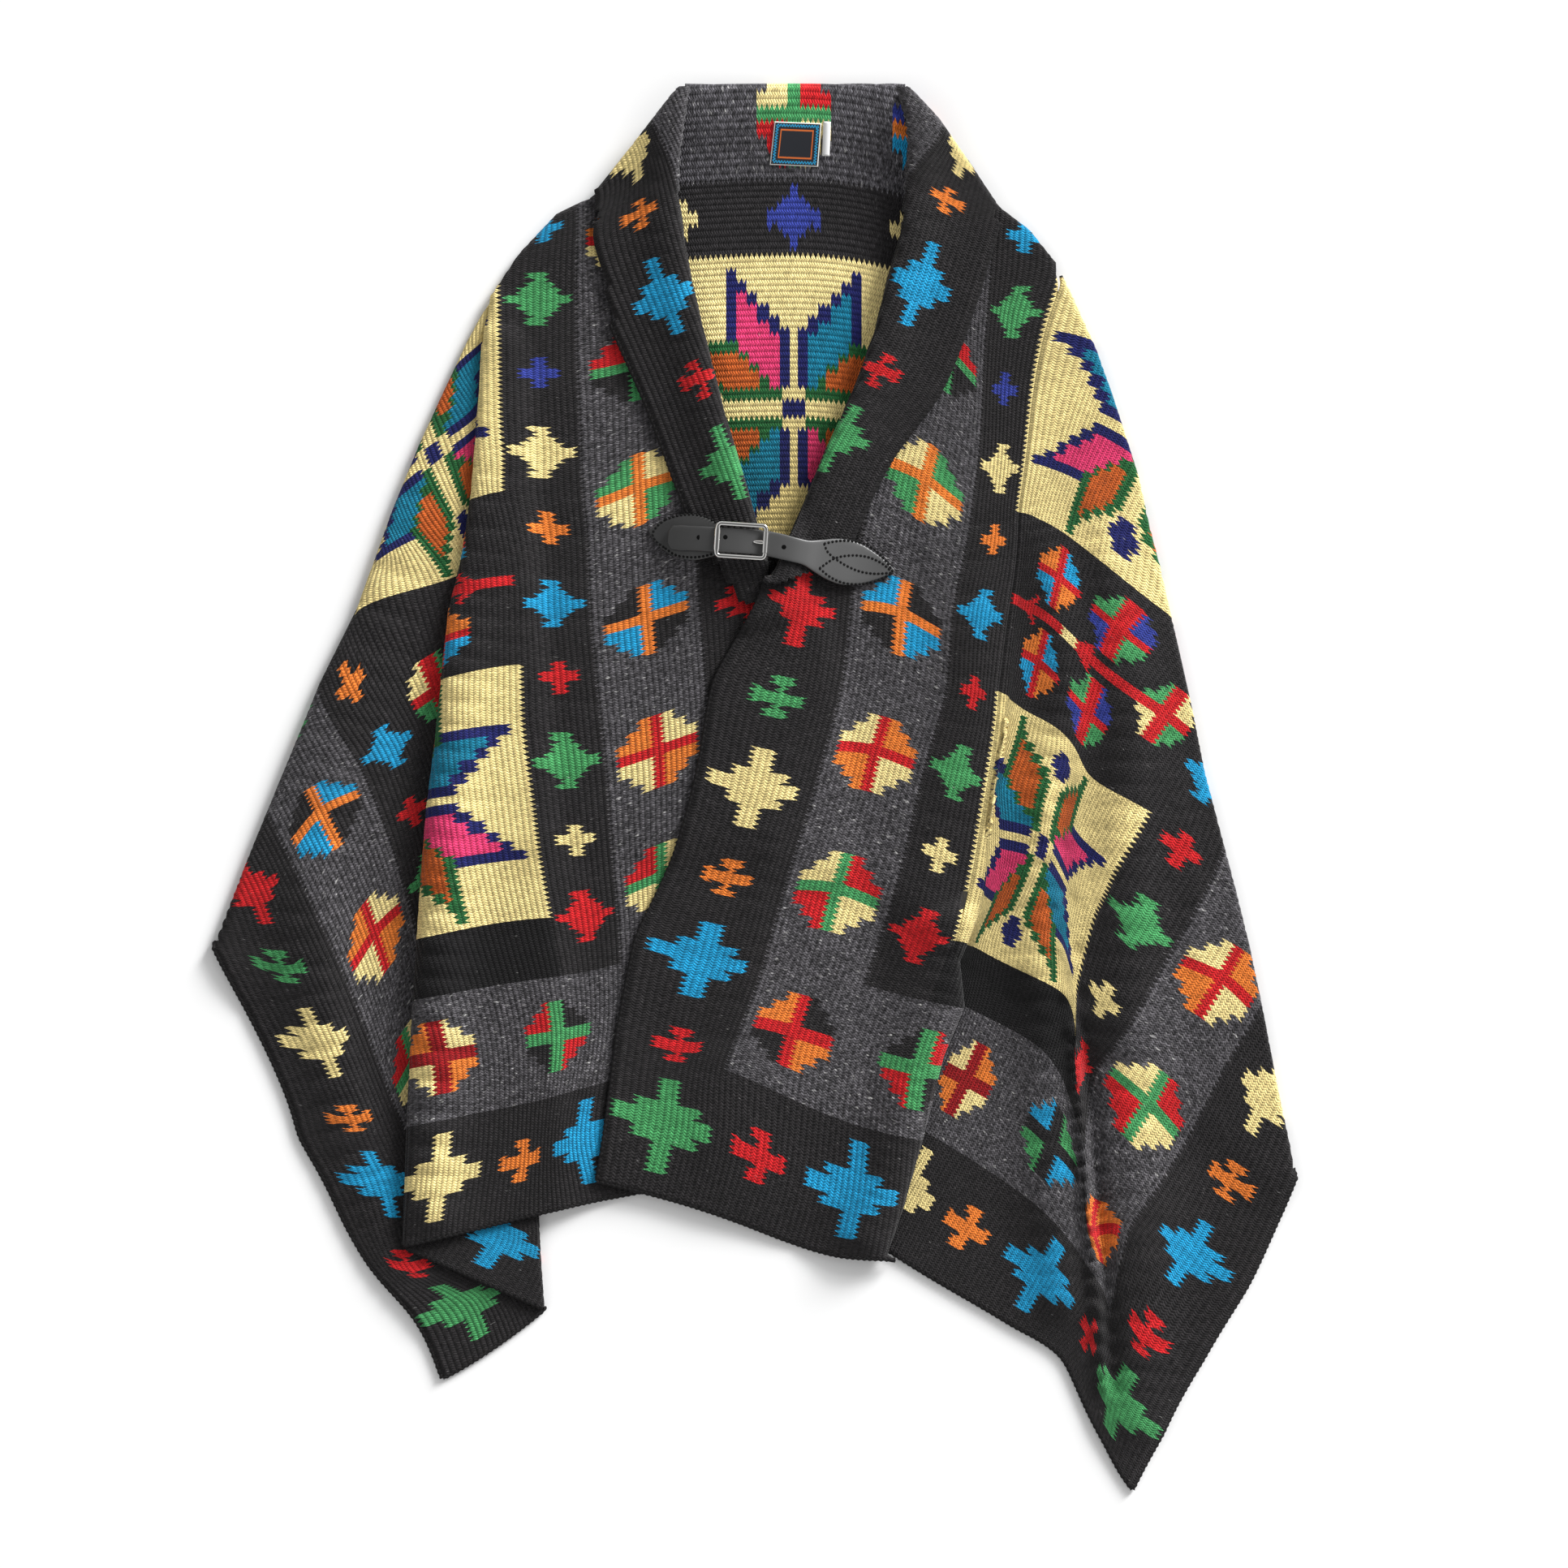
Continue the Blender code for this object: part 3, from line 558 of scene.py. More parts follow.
class Spread:
    """A smooth map from the blanket's coordinates to the garment, through its tie points."""

    def __init__(self, ties):
        table = np.asarray(ties, float)
        self.known = table[:, 0:2]
        targets = np.column_stack(to_mm(table[:, 2], table[:, 3]))
        count = len(table)
        gap = self.known[:, None] - self.known[None]
        matrix = np.zeros((count + 3, count + 3))
        matrix[:count, :count] = self.bend((gap**2).sum(2)) + STIFF * np.eye(count)
        matrix[:count, count] = 1
        matrix[:count, count + 1:] = self.known
        matrix[count, :count] = 1
        matrix[count + 1:, :count] = self.known.T
        right = np.vstack([targets, np.zeros((3, 2))])
        self.weights = np.linalg.solve(matrix, right)

    @staticmethod
    def bend(square):
        return 0.5 * square * np.log(np.maximum(square, TINY))

    def __call__(self, s, v):
        points = np.column_stack([s, v])
        gap = points[:, None] - self.known[None]
        base = self.bend((gap**2).sum(2))
        full = np.column_stack([base, np.ones(len(points)), points])
        return full @ self.weights


right_front_map = Spread(RIGHT_FRONT_TIES)
right_wing_map = Spread(RIGHT_WING_TIES)
left_front_map = Spread(LEFT_FRONT_TIES)
left_wing_map = Spread(LEFT_WING_TIES)
left_pleat_map = Spread(LEFT_PLEAT_TIES)


# Colours of the wool
YARN = {
    "black": (36, 34, 35), "grey": (74, 72, 75), "cream": (240, 218, 148), "cyan": (30, 150, 200),
    "teal": (20, 120, 150), "navy": (28, 32, 90), "blue": (50, 62, 145), "red": (200, 30, 35),
    "wine": (150, 20, 25), "orange": (232, 125, 50), "rust": (190, 90, 35), "green": (70, 150, 90),
    "pine": (35, 95, 50), "pink": (225, 60, 110), "jet": (22, 21, 22),
}
YARN_NAMES = tuple(YARN)


def yarn(name):
    return YARN_NAMES.index(name)


def linear(value):
    value = np.asarray(value, float) / 255
    return np.where(value <= 0.04045, value / 12.92, ((value + 0.055) / 1.055) ** 2.4)


# Bands across the blanket and panels along it, in steps
BORDER = 125
GREY_END = 247
INNER_END = 337
FAR_INNER = 689
FAR_GREY = 779
FAR_BORDER = 901
HEM_BORDER = 145
HEM_GREY = 300
PANELS = ((375, 686), (908, 1210), (1402, 1718))


def plain_bands(s, v):
    colour = np.full(s.shape, yarn("black"))
    grey = (v > BORDER) & (v < FAR_BORDER) & (s > HEM_BORDER)
    inner = (v > GREY_END) & (v < FAR_GREY) & (s > HEM_GREY)
    colour[grey & ~inner] = yarn("grey")
    colour[(v > INNER_END) & (v < FAR_INNER) & (s > HEM_GREY) & (s < PANELS[0][0])] = yarn("jet")
    for low, high in PANELS:
        colour[(v > INNER_END) & (v < FAR_INNER) & (s > low) & (s < high)] = yarn("cream")
    return colour


def large_cross(ds, dv, size=1.0, narrow=1.0):
    """Stepped cross of the border; size 1 is 94 steps wide."""
    a = np.abs(ds) / size
    b = np.abs(dv) / (size * narrow)
    body = (a < 20) & (b < 30) & ((a > 11) | (b < 26))
    arms = ((a < 7.5) & (b < 47)) | ((b < 9.5) & (a < 46))
    return body | arms


def small_cross(ds, dv, size=1.0, narrow=1.0):
    a = np.abs(ds) / size
    b = np.abs(dv) / (size * narrow)
    arms = ((a < 6.5) & (b < 32)) | ((b < 6) & (a < 23))
    tips = ((b < 11) & (a > 14) & (a < 23)) | ((a < 9) & (b > 25) & (b < 32))
    return arms | tips


def band_cross(ds, dv):
    """Rounder stepped cross of the black band."""
    a = np.abs(ds)
    b = np.abs(dv)
    body = ((a < 20) & (b < 15)) | ((a < 13) & (b < 24))
    arms = ((b < 6) & (a < 33)) | ((a < 5.5) & (b < 38)) | ((b < 10.5) & (a > 25) & (a < 33))
    return body | arms


def band_plus(ds, dv):
    a = np.abs(ds)
    b = np.abs(dv)
    arms = ((a < 6) & (b < 22)) | ((b < 6) & (a < 21))
    tips = (b < 9.5) & (a > 13) & (a < 21)
    return arms | tips


# Stepped quarters between the bars. Columns: along from, along to, across
QUARTER_STEPS = ((0, 20, 47), (20, 33, 33), (33, 45, 19))


def quadrant_cross(colour, ds, dv, bars, first, second, size=1.0):
    """Bars along and across; first fills the quarters where ds and dv differ in sign."""
    a = np.abs(ds) / size
    b = np.abs(dv) / size
    fill = np.zeros(a.shape, bool)
    for low, high, across in QUARTER_STEPS:
        fill |= (a >= low) & (a < high) & (b < across)
    colour[fill & (ds * dv < 0)] = yarn(first)
    colour[fill & (ds * dv >= 0)] = yarn(second)
    colour[((a < 6.5) & (b < 48)) | ((b < 9.5) & (a < 46))] = yarn(bars)


BORDER_CROSSES = ("green", "red", "cyan", "orange", "cream", "green", "red", "cyan",
                  "green", "red", "cyan", "orange", "cream", "green", "red")
HEM_CROSSES = ("green", "red", "cyan", "orange", "cream", "orange", "cyan", "red", "green")
INNER_CROSSES = ("red", "cream", "green", "red", "cyan", "orange", "cream", "blue", "green", "cyan",
                 "red", "cream", "blue")
# Columns: bars, first quarters, second quarters
GREY_CROSSES = (
    ("red", "orange", "black"), ("green", "cream", "red"), ("red", "cream", "orange"),
    ("orange", "cyan", "black"), ("orange", "cream", "green"), ("green", "black", "red"),
    ("red", "cream", "orange"), ("orange", "blue", "cyan"),
)
NECK_CROSS = ("green", "red", "cream")
HEM_GREY_CROSSES = (
    ("red", "orange", "black"), ("green", "black", "red"), ("wine", "cream", "orange"),
    ("black", "cyan", "green"), ("red", "orange", "orange"),
)
FAR_GREY_CROSSES = (
    ("red", "orange", "black"), ("green", "cream", "red"), ("red", "cream", "orange"),
    ("orange", "cyan", "black"), ("orange", "cream", "green"), ("green", "red", "cream"),
)
# Crosses between the panels. Columns: along from the stem, across, first quarters, second quarters
GAP_CROSSES = (
    (-55, 438, "orange", "cyan"), (55, 438, "orange", "cyan"), (-55, 542, "green", "blue"),
    (55, 542, "green", "blue"), (0, 640, "green", "cream"),
)

# The star, by distance along from its middle. Columns: from, to, green from, rust from, rust to, green to
STAR_PETAL = (
    (14, 29, 12, 0, 0, 26), (29, 41, 12, 0, 0, 38), (41, 54, 12, 24, 43, 54), (54, 67, 12, 24, 58, 69),
    (67, 85, 12, 24, 70, 83), (85, 97, 20, 34, 70, 83), (97, 109, 33, 46, 70, 83),
    (109, 121, 46, 58, 70, 83), (121, 134, 57, 0, 0, 83), (134, 150, 68, 0, 0, 83),
)
# Columns: from, to, fill from, fill to, outline to
STAR_FAN = (
    (6, 18, 28, 28, 94), (18, 31, 26, 88, 106), (31, 46, 38, 104, 121), (46, 59, 54, 120, 136),
    (59, 71, 69, 136, 151), (71, 84, 83, 83, 166),
)


def star(colour, ds, dv):
    """The eight-armed star of a cream panel."""
    a = np.abs(ds)
    b = np.abs(dv)
    warm = ds * dv > 0
    for low, high, fill_from, fill_to, outline_to in STAR_FAN:
        row = (a >= low) & (a < high)
        fill = row & (b >= fill_from) & (b < fill_to)
        colour[fill & warm] = yarn("pink")
        colour[fill & ~warm] = yarn("teal")
        colour[row & (b >= fill_to) & (b < outline_to)] = yarn("navy")
    for low, high, green_from, rust_from, rust_to, green_to in STAR_PETAL:
        row = (a >= low) & (a < high)
        colour[row & (b >= green_from) & (b < green_to)] = yarn("pine")
        colour[row & (b >= rust_from) & (b < rust_to)] = yarn("rust")
    notch = np.abs(a - 109)
    cross = ((notch < 8) & (b < 21)) | ((b < 8) & (notch < 20)) | ((notch < 13) & (b < 12))
    colour[cross] = yarn("navy")
    colour[(a < 13) & (b < 10)] = yarn("navy")


def paint_near(colour, near, draw, *places):
    """Lets draw see and colour only the places that are near."""
    part = colour[near]
    draw(part, *(place[near] for place in places))
    colour[near] = part


def put_quadrants(colour, along, across, names, reach=60, size=1.0):
    near = (np.abs(along) < reach) & (np.abs(across) < reach)
    paint_near(colour, near, lambda *part: quadrant_cross(*part, *names, size), along, across)


def gap_motif(colour, ds, v):
    """A red stem with crosses on its forks."""
    stem = (np.abs(ds) < 5) & (v > 344) & (v < 640)
    colour[stem] = yarn("red")
    colour[(np.abs(ds) < 6) & (v > 470) & (v < 496)] = yarn("cream")
    for root in (384, 500):
        reach = v - root
        fork = (reach > -6) & (reach < 26) & (np.abs(np.abs(ds) - 0.55 * np.maximum(reach, 0)) < 5)
        colour[fork] = yarn("red")
    for along, row, first, second in GAP_CROSSES:
        put_quadrants(colour, ds - along, v - row, ("red", first, second), 48, 0.84)


# Middles and pitches of the rows of motifs, in steps
EDGE_ROW = 57
EDGE_REACH = 120
BORDER_START = 75
BORDER_PITCH = 106.1
COLLAR_CROSSES = 7
HEM_PITCH = 114
HEM_SIZE = 1.15
BAND_ROWS = (292, 734)
BAND_START = 373
BAND_PITCH = 98.9
NECK_BAND = (11, 1422)
GREY_START = 222
GREY_PITCH = 167.3
GREY_ROW = 186
FAR_GREY_ROW = 840
HEM_GREY_PITCH = 163.5
PANEL_ROW = 513
GAP_MIDDLES = (797, 1306)
GAP_HALF = 101


def chart(u, v, across=EDGE_ROW, narrow=1.0):
    """The yarn at each place of the blanket; across and narrow place the crosses of the front edge."""
    s = np.minimum(u, LONG - u)
    far = HIGH - v
    colour = plain_bands(s, v)
    for k, name in enumerate(BORDER_CROSSES):
        along = s - BORDER_START - BORDER_PITCH * k
        shape = large_cross if k % 2 == 0 else small_cross
        slim = narrow * (0.96 if k % 2 == 0 else 0.85)
        if across == EDGE_ROW or k > COLLAR_CROSSES:
            colour[(v < EDGE_REACH) & shape(along, v - across, 1.0, slim)] = yarn(name)
        if k > 0:
            colour[(far < EDGE_REACH) & shape(along, far - EDGE_ROW, 1.0, 0.8)] = yarn(name)
    for j, name in enumerate(HEM_CROSSES):
        shape, slim = (large_cross, 1.0) if j % 2 == 0 else (small_cross, 0.85)
        here = shape(s - BORDER_START, v - EDGE_ROW - HEM_PITCH * j, HEM_SIZE, slim)
        colour[(s < HEM_BORDER) & here] = yarn(name)
    for k, name in enumerate(INNER_CROSSES):
        shape = band_cross if k % 2 == 0 else band_plus
        middle = NECK_BAND[1] if k == NECK_BAND[0] else BAND_START + BAND_PITCH * k
        for row in BAND_ROWS:
            colour[shape(s - middle, v - row)] = yarn(name)
    for k, names in enumerate(GREY_CROSSES):
        along = s if k < COLLAR_CROSSES else LONG - u
        put_quadrants(colour, along - GREY_START - GREY_PITCH * k, v - GREY_ROW, names)
    put_quadrants(colour, u - LONG / 2, v - GREY_ROW, NECK_CROSS)
    for k, names in enumerate(FAR_GREY_CROSSES):
        put_quadrants(colour, s - GREY_START - GREY_PITCH * k, v - FAR_GREY_ROW, names)
    for j, names in enumerate(HEM_GREY_CROSSES[1:], 1):
        put_quadrants(colour, s - GREY_START, v - GREY_ROW - HEM_GREY_PITCH * j, names)
    inner = (v > INNER_END) & (v < FAR_INNER)
    for low, high in PANELS:
        middle = (low + high) / 2
        along = (u if high > LONG / 2 else s) - middle
        near = (np.abs(along) < (high - low) / 2) & inner
        paint_near(colour, near, star, along, v - PANEL_ROW)
    for middle in GAP_MIDDLES:
        near = (np.abs(s - middle) < GAP_HALF) & inner
        paint_near(colour, near, gap_motif, s - middle, v)
    return colour


RANGE_SOCKETS = ("From Min", "From Max", "To Min", "To Max")
CHANNELS = ("Red", "Green", "Blue")
# Weft stitches in the finish, in millimetres, their slant and the wool's relief
WEFT_PITCH = 2.36
WEFT_SLANT = 1.1
WOOL_RELIEF = 1.4


# The cloth's three finishes
def new_material(name, values):
    """A material whose shader has the given values, with its nodes and links."""
    material = bpy.data.materials.new(name)
    material.use_nodes = True
    nodes = material.node_tree.nodes
    shader = nodes["Principled BSDF"]
    for socket, value in values.items():
        shader.inputs[socket].default_value = value
    return material, nodes, material.node_tree.links, shader


def wool_material(name, flecks, low, high):
    material, nodes, links, shader = new_material(name, {
        "Roughness": 0.92, "Specular IOR Level": 0.18, "Sheen Weight": 0.12, "Sheen Roughness": 0.5,
    })

    def math_node(operation, *values):
        node = nodes.new("ShaderNodeMath")
        node.operation = operation
        for place, value in enumerate(values):
            if isinstance(value, (int, float)):
                node.inputs[place].default_value = value
            else:
                links.new(value, node.inputs[place])
        return node.outputs[0]

    def times(first, *others):
        for other in others:
            first = math_node("MULTIPLY", first, other)
        return first

    def plus(first, *others):
        for other in others:
            first = math_node("ADD", first, other)
        return first

    paint = nodes.new("ShaderNodeVertexColor")
    paint.layer_name = "yarn"
    place = nodes.new("ShaderNodeUVMap")
    place.uv_map = "weave"
    split = nodes.new("ShaderNodeSeparateXYZ")
    links.new(place.outputs["UV"], split.inputs[0])
    along = split.outputs["X"]
    across = split.outputs["Y"]
    rib_phase = times(across, 1 / (RIB * STEP * MM))
    swing = math_node("PINGPONG", rib_phase, 0.5)
    rib = math_node("SINE", times(math_node("SUBTRACT", 0.5, swing), math.pi))
    # Each weft stitch has its own shade and height
    row = math_node("FLOOR", rib_phase)
    shift = times(math_node("MODULO", math_node("ABSOLUTE", row), 2.0), 0.5)
    weft_phase = plus(times(along, 1 / (WEFT_PITCH * MM)), times(swing, WEFT_SLANT), shift)
    cell = nodes.new("ShaderNodeCombineXYZ")
    links.new(math_node("FLOOR", weft_phase), cell.inputs["X"])
    links.new(row, cell.inputs["Y"])
    stitch = nodes.new("ShaderNodeTexWhiteNoise")
    stitch.noise_dimensions = "2D"
    links.new(cell.outputs[0], stitch.inputs["Vector"])
    weft_swing = math_node("PINGPONG", weft_phase, 0.5)
    weft = math_node("SINE", times(weft_swing, math.pi))

    def stretched_noise(along_scale, across_scale, detail):
        mapping = nodes.new("ShaderNodeMapping")
        mapping.inputs["Scale"].default_value = (along_scale, across_scale, 1)
        links.new(place.outputs["UV"], mapping.inputs["Vector"])
        noise = nodes.new("ShaderNodeTexNoise")
        noise.inputs["Scale"].default_value = 1.0
        noise.inputs["Detail"].default_value = detail
        links.new(mapping.outputs["Vector"], noise.inputs["Vector"])
        return noise.outputs["Fac"]

    def ranged(value, low, high, first, last):
        ramp = nodes.new("ShaderNodeMapRange")
        for socket, number in zip(RANGE_SOCKETS, (low, high, first, last)):
            ramp.inputs[socket].default_value = number
        links.new(value, ramp.inputs["Value"])
        return ramp.outputs["Result"]

    hairs = stretched_noise(1500, 700, 3)
    patches = stretched_noise(26, 18, 2)
    strands = stretched_noise(420, 70, 2)
    height = plus(times(rib, 0.55), times(weft, 0.42), times(hairs, 0.35), times(stitch.outputs[0], 0.16))
    bump = nodes.new("ShaderNodeBump")
    bump.inputs["Strength"].default_value = 1.0
    bump.inputs["Distance"].default_value = WOOL_RELIEF * MM
    links.new(height, bump.inputs["Height"])
    links.new(bump.outputs["Normal"], shader.inputs["Normal"])
    # Painted shade: darker in the grooves between the ribs and between the stitches; each stitch, strand
    # and patch also varies in tone at random
    depth = times(
        ranged(rib, 0.0, 0.7, 0.66 if low < 0.8 else 0.8, 1.04),
        ranged(weft, 0.0, 0.7, 0.66, 1.06),
        ranged(stitch.outputs[0], 0.0, 1.0, 1.4 * low, 0.75 * high),
        ranged(strands, 0.3, 0.7, 0.86, 1.12),
        ranged(patches, 0.3, 0.7, 0.9, 1.08),
        ranged(stretched_noise(540, 240, 2), 0.34, 0.68, low, high),
    )
    tint = nodes.new("ShaderNodeMix")
    tint.data_type = "RGBA"
    tint.blend_type = "MULTIPLY"
    tint.inputs["Factor"].default_value = 1.0
    links.new(paint.outputs["Color"], tint.inputs["A"])
    grey = nodes.new("ShaderNodeCombineColor")
    for channel in CHANNELS:
        links.new(depth, grey.inputs[channel])
    links.new(grey.outputs["Color"], tint.inputs["B"])
    # Pale hairs: many in the heather, few elsewhere
    start, end, strength = (0.66, 0.8, 0.9) if flecks else (0.74, 0.84, 0.36)
    amount = times(ranged(stretched_noise(380, 120, 1), start, end, 0.0, 1.0), strength)
    light = nodes.new("ShaderNodeMix")
    light.data_type = "RGBA"
    light.inputs["B"].default_value = (0.5, 0.49, 0.48, 1)
    links.new(amount, light.inputs["Factor"])
    links.new(tint.outputs["Result"], light.inputs["A"])
    links.new(light.outputs["Result"], shader.inputs["Base Color"])
    return material


wool = wool_material("wool_plain", False, 0.84, 1.16)
heather = wool_material("wool_heather", True, 0.42, 1.85)
# The dark wool's wide range of stitch tone is partly random tone and partly painted highlight on the
# stitches
dark_wool = wool_material("wool_dark", False, 0.58, 1.6)
# Thickness of the shells, in millimetres
SHELL = 3.4
# The roll's radius at its tapered end, as a share, and the lowest a tucked edge comes
THIN_END = 0.06
TUCKED = 3.8
SHELL_FOOT = 0.4


class Fold:
    """A rolled edge: the line the cloth turns at, the roll's radius, and how low it comes down."""

    def __init__(self, line, radius, low=None, taper=0.0):
        self.line = np.asarray(line, float)
        self.radius = radius
        self.low = low
        self.taper = taper

    def depth(self, points):
        start = self.line[:-1]
        edge = self.line[1:] - start
        along, gap = beside(points, start, edge)
        square = (gap**2).sum(2)
        near = square.argmin(1)
        rows = np.arange(len(points))
        distance = np.sqrt(square[rows, near])
        share = along[rows, near]
        cross = edge[near, 0] * gap[rows, near, 1] - edge[near, 1] * gap[rows, near, 0]
        side = np.where(cross > 0, 1.0, -1.0)
        foot = points - gap[rows, near]
        away = gap[rows, near] / np.maximum(distance, 1e-6)[:, None] * side[:, None]
        ends = ((share <= 0) & (near == 0)) | ((share >= 1) & (near == len(start) - 1))
        radius = np.full(len(points), float(self.radius))
        if self.taper > 0:
            length = np.linalg.norm(edge, axis=1)
            left = length.sum() - (np.cumsum(length) - length)[near] - share * length[near]
            radius = radius * (THIN_END + (1 - THIN_END) * soft_step(left / self.taper))
        return distance * side, foot, away, ends, radius


# How far past a fold cloth is left out, in millimetres, how far a fold turns, in half turns,
# and how many of its radii from its line cloth belongs to it
BEYOND = 42.0
FOLD_TURN = 0.85
NEAR_FOLD = 3.2


def by_parts(function, points, step=6000):
    return np.concatenate([function(points[i:i + step]) for i in range(0, len(points), step)])


def make_cloth(
    name, stretch, spread, s_range, v_ribs, folds, margin, only=None, height=None, motifs=(EDGE_ROW, 1.0),
):
    """Weave-aligned sheet over one stretch: its place from spread, its height from the stretch."""
    s_places = np.arange(s_range[0], s_range[1] + 0.1, WEFT)
    v_places = np.arange(v_ribs[0], v_ribs[1] + 1) * RIB
    s_grid, v_grid = np.meshgrid(s_places, v_places, indexing="ij")
    weave = np.column_stack([s_grid.ravel(), v_grid.ravel()])
    points = by_parts(lambda part: spread(part[:, 0], part[:, 1]), weave)
    ring_depth = by_parts(lambda part: inside_depth(part, stretch.ring), points)
    keep = ring_depth > -margin
    for fold in folds:
        distance, foot, away, ends, radius = fold.depth(points)
        near = (np.abs(distance) < NEAR_FOLD * fold.radius) & ~ends
        reach = (0.8 * math.pi - 1) * radius
        keep |= near & (distance < 2) & (distance > -reach)
        keep &= ~((distance <= -reach) & (distance > -BEYOND) & ~ends)
    if only is not None:
        keep &= only(weave[:, 0], weave[:, 1], points)
    index = -np.ones(len(points), int)
    index[keep] = np.arange(keep.sum())
    spots = points[keep]
    if height is None:
        top = by_parts(stretch.top, spots, 4000)
    else:
        both = np.hstack([weave[keep], spots])
        top = by_parts(lambda part: height(part[:, 0:2], part[:, 2:4]), both, 4000)
    z = top.copy()
    for fold in folds:
        distance, foot, away, ends, radius = fold.depth(spots)
        turn = np.clip((radius - distance) / radius, 0, FOLD_TURN * math.pi)
        rolled = (distance < radius) & ~ends & (distance > -3 * radius)
        inward = radius - radius * np.sin(turn)
        fresh = foot + away * inward[:, None]
        spots = np.where(rolled[:, None], fresh, spots)
        low = fold.low if fold.low is not None else top - 2 * radius
        low = np.maximum(low, SHELL_FOOT + SHELL)
        middle = 0.5 * (top + low)
        z = np.where(rolled, middle + (top - middle) * np.cos(turn), z)
    return build_grid(name, s_places, v_places, index, spots, z, keep, motifs)


# Soft creases laid over each stretch, in millimetres. Columns: x, y, height, reach
CREASES = (
    (right_wing, (
        (265, 8, 0.5, 8), (292, -220, 5, 7), (299, -292, 7, 7), (306, -377, 8, 7), (313, -448, 7.5, 7),
        (322, -555, 4, 7),
    )),
    (right_wing, (
        (277, 8, -0.5, 8), (302, -220, -4, 8), (309, -292, -5, 8), (316, -377, -6, 8), (323, -448, -5.5, 8),
        (332, -555, -3, 8),
    )),
    (right_wing, ((380, 60, 0, 14), (395, -40, 2.2, 15), (410, -150, 2.6, 16), (415, -240, 1, 14))),
    (right_wing, ((300, 300, 0, 12), (320, 220, 2.0, 13), (330, 140, 0, 12))),
    (left_front, ((-200, 330, 0, 14), (-215, 200, 2.0, 15), (-228, 60, 1.4, 14), (-236, -80, 0, 13))),
    (left_front, ((-120, -60, 0, 16), (-135, -160, 1.8, 17), (-150, -260, 2.3, 16), (-160, -350, 1, 15))),
    (right_front, ((60, 100, 0, 16), (30, 0, 2.0, 18), (5, -110, 2.4, 17), (-10, -220, 1, 15))),
    (right_front, ((150, 330, 0, 13), (165, 230, 1.7, 14), (160, 120, 0, 13))),
    (left_wing, ((-330, 120, 0, 13), (-345, 20, 2.2, 14), (-350, -90, 1.5, 13), (-340, -200, 0, 12))),
    (left_wing, ((-400, -120, 0, 12), (-385, -220, 2.0, 13), (-350, -330, 1.6, 12), (-330, -400, 0, 12))),
    (back, ((-60, 470, 0, 14), (-30, 400, 1.5, 15), (-20, 330, 0, 13))),
)
for stretch, crease in CREASES:
    stretch.folds = list(stretch.folds) + [np.array(crease, float)]

CUTS = {}
EDGES = []
# Painted shade low in the neck opening, where the fronts shade the back, and painted light above it: height
# on the garment, then how bright
NECK_SHADE = ((190, 245, 290, 350, 430), (1.0, 0.66, 0.78, 1.0, 1.12))
# How strongly each colour channel takes the painted shade, so the shaded cream goes olive
NECK_SHADE_TINT = np.array([1.0, 1.08, 1.3])


def placed(name, data):
    thing = bpy.data.objects.new(name, data)
    bpy.context.scene.collection.objects.link(thing)
    return thing


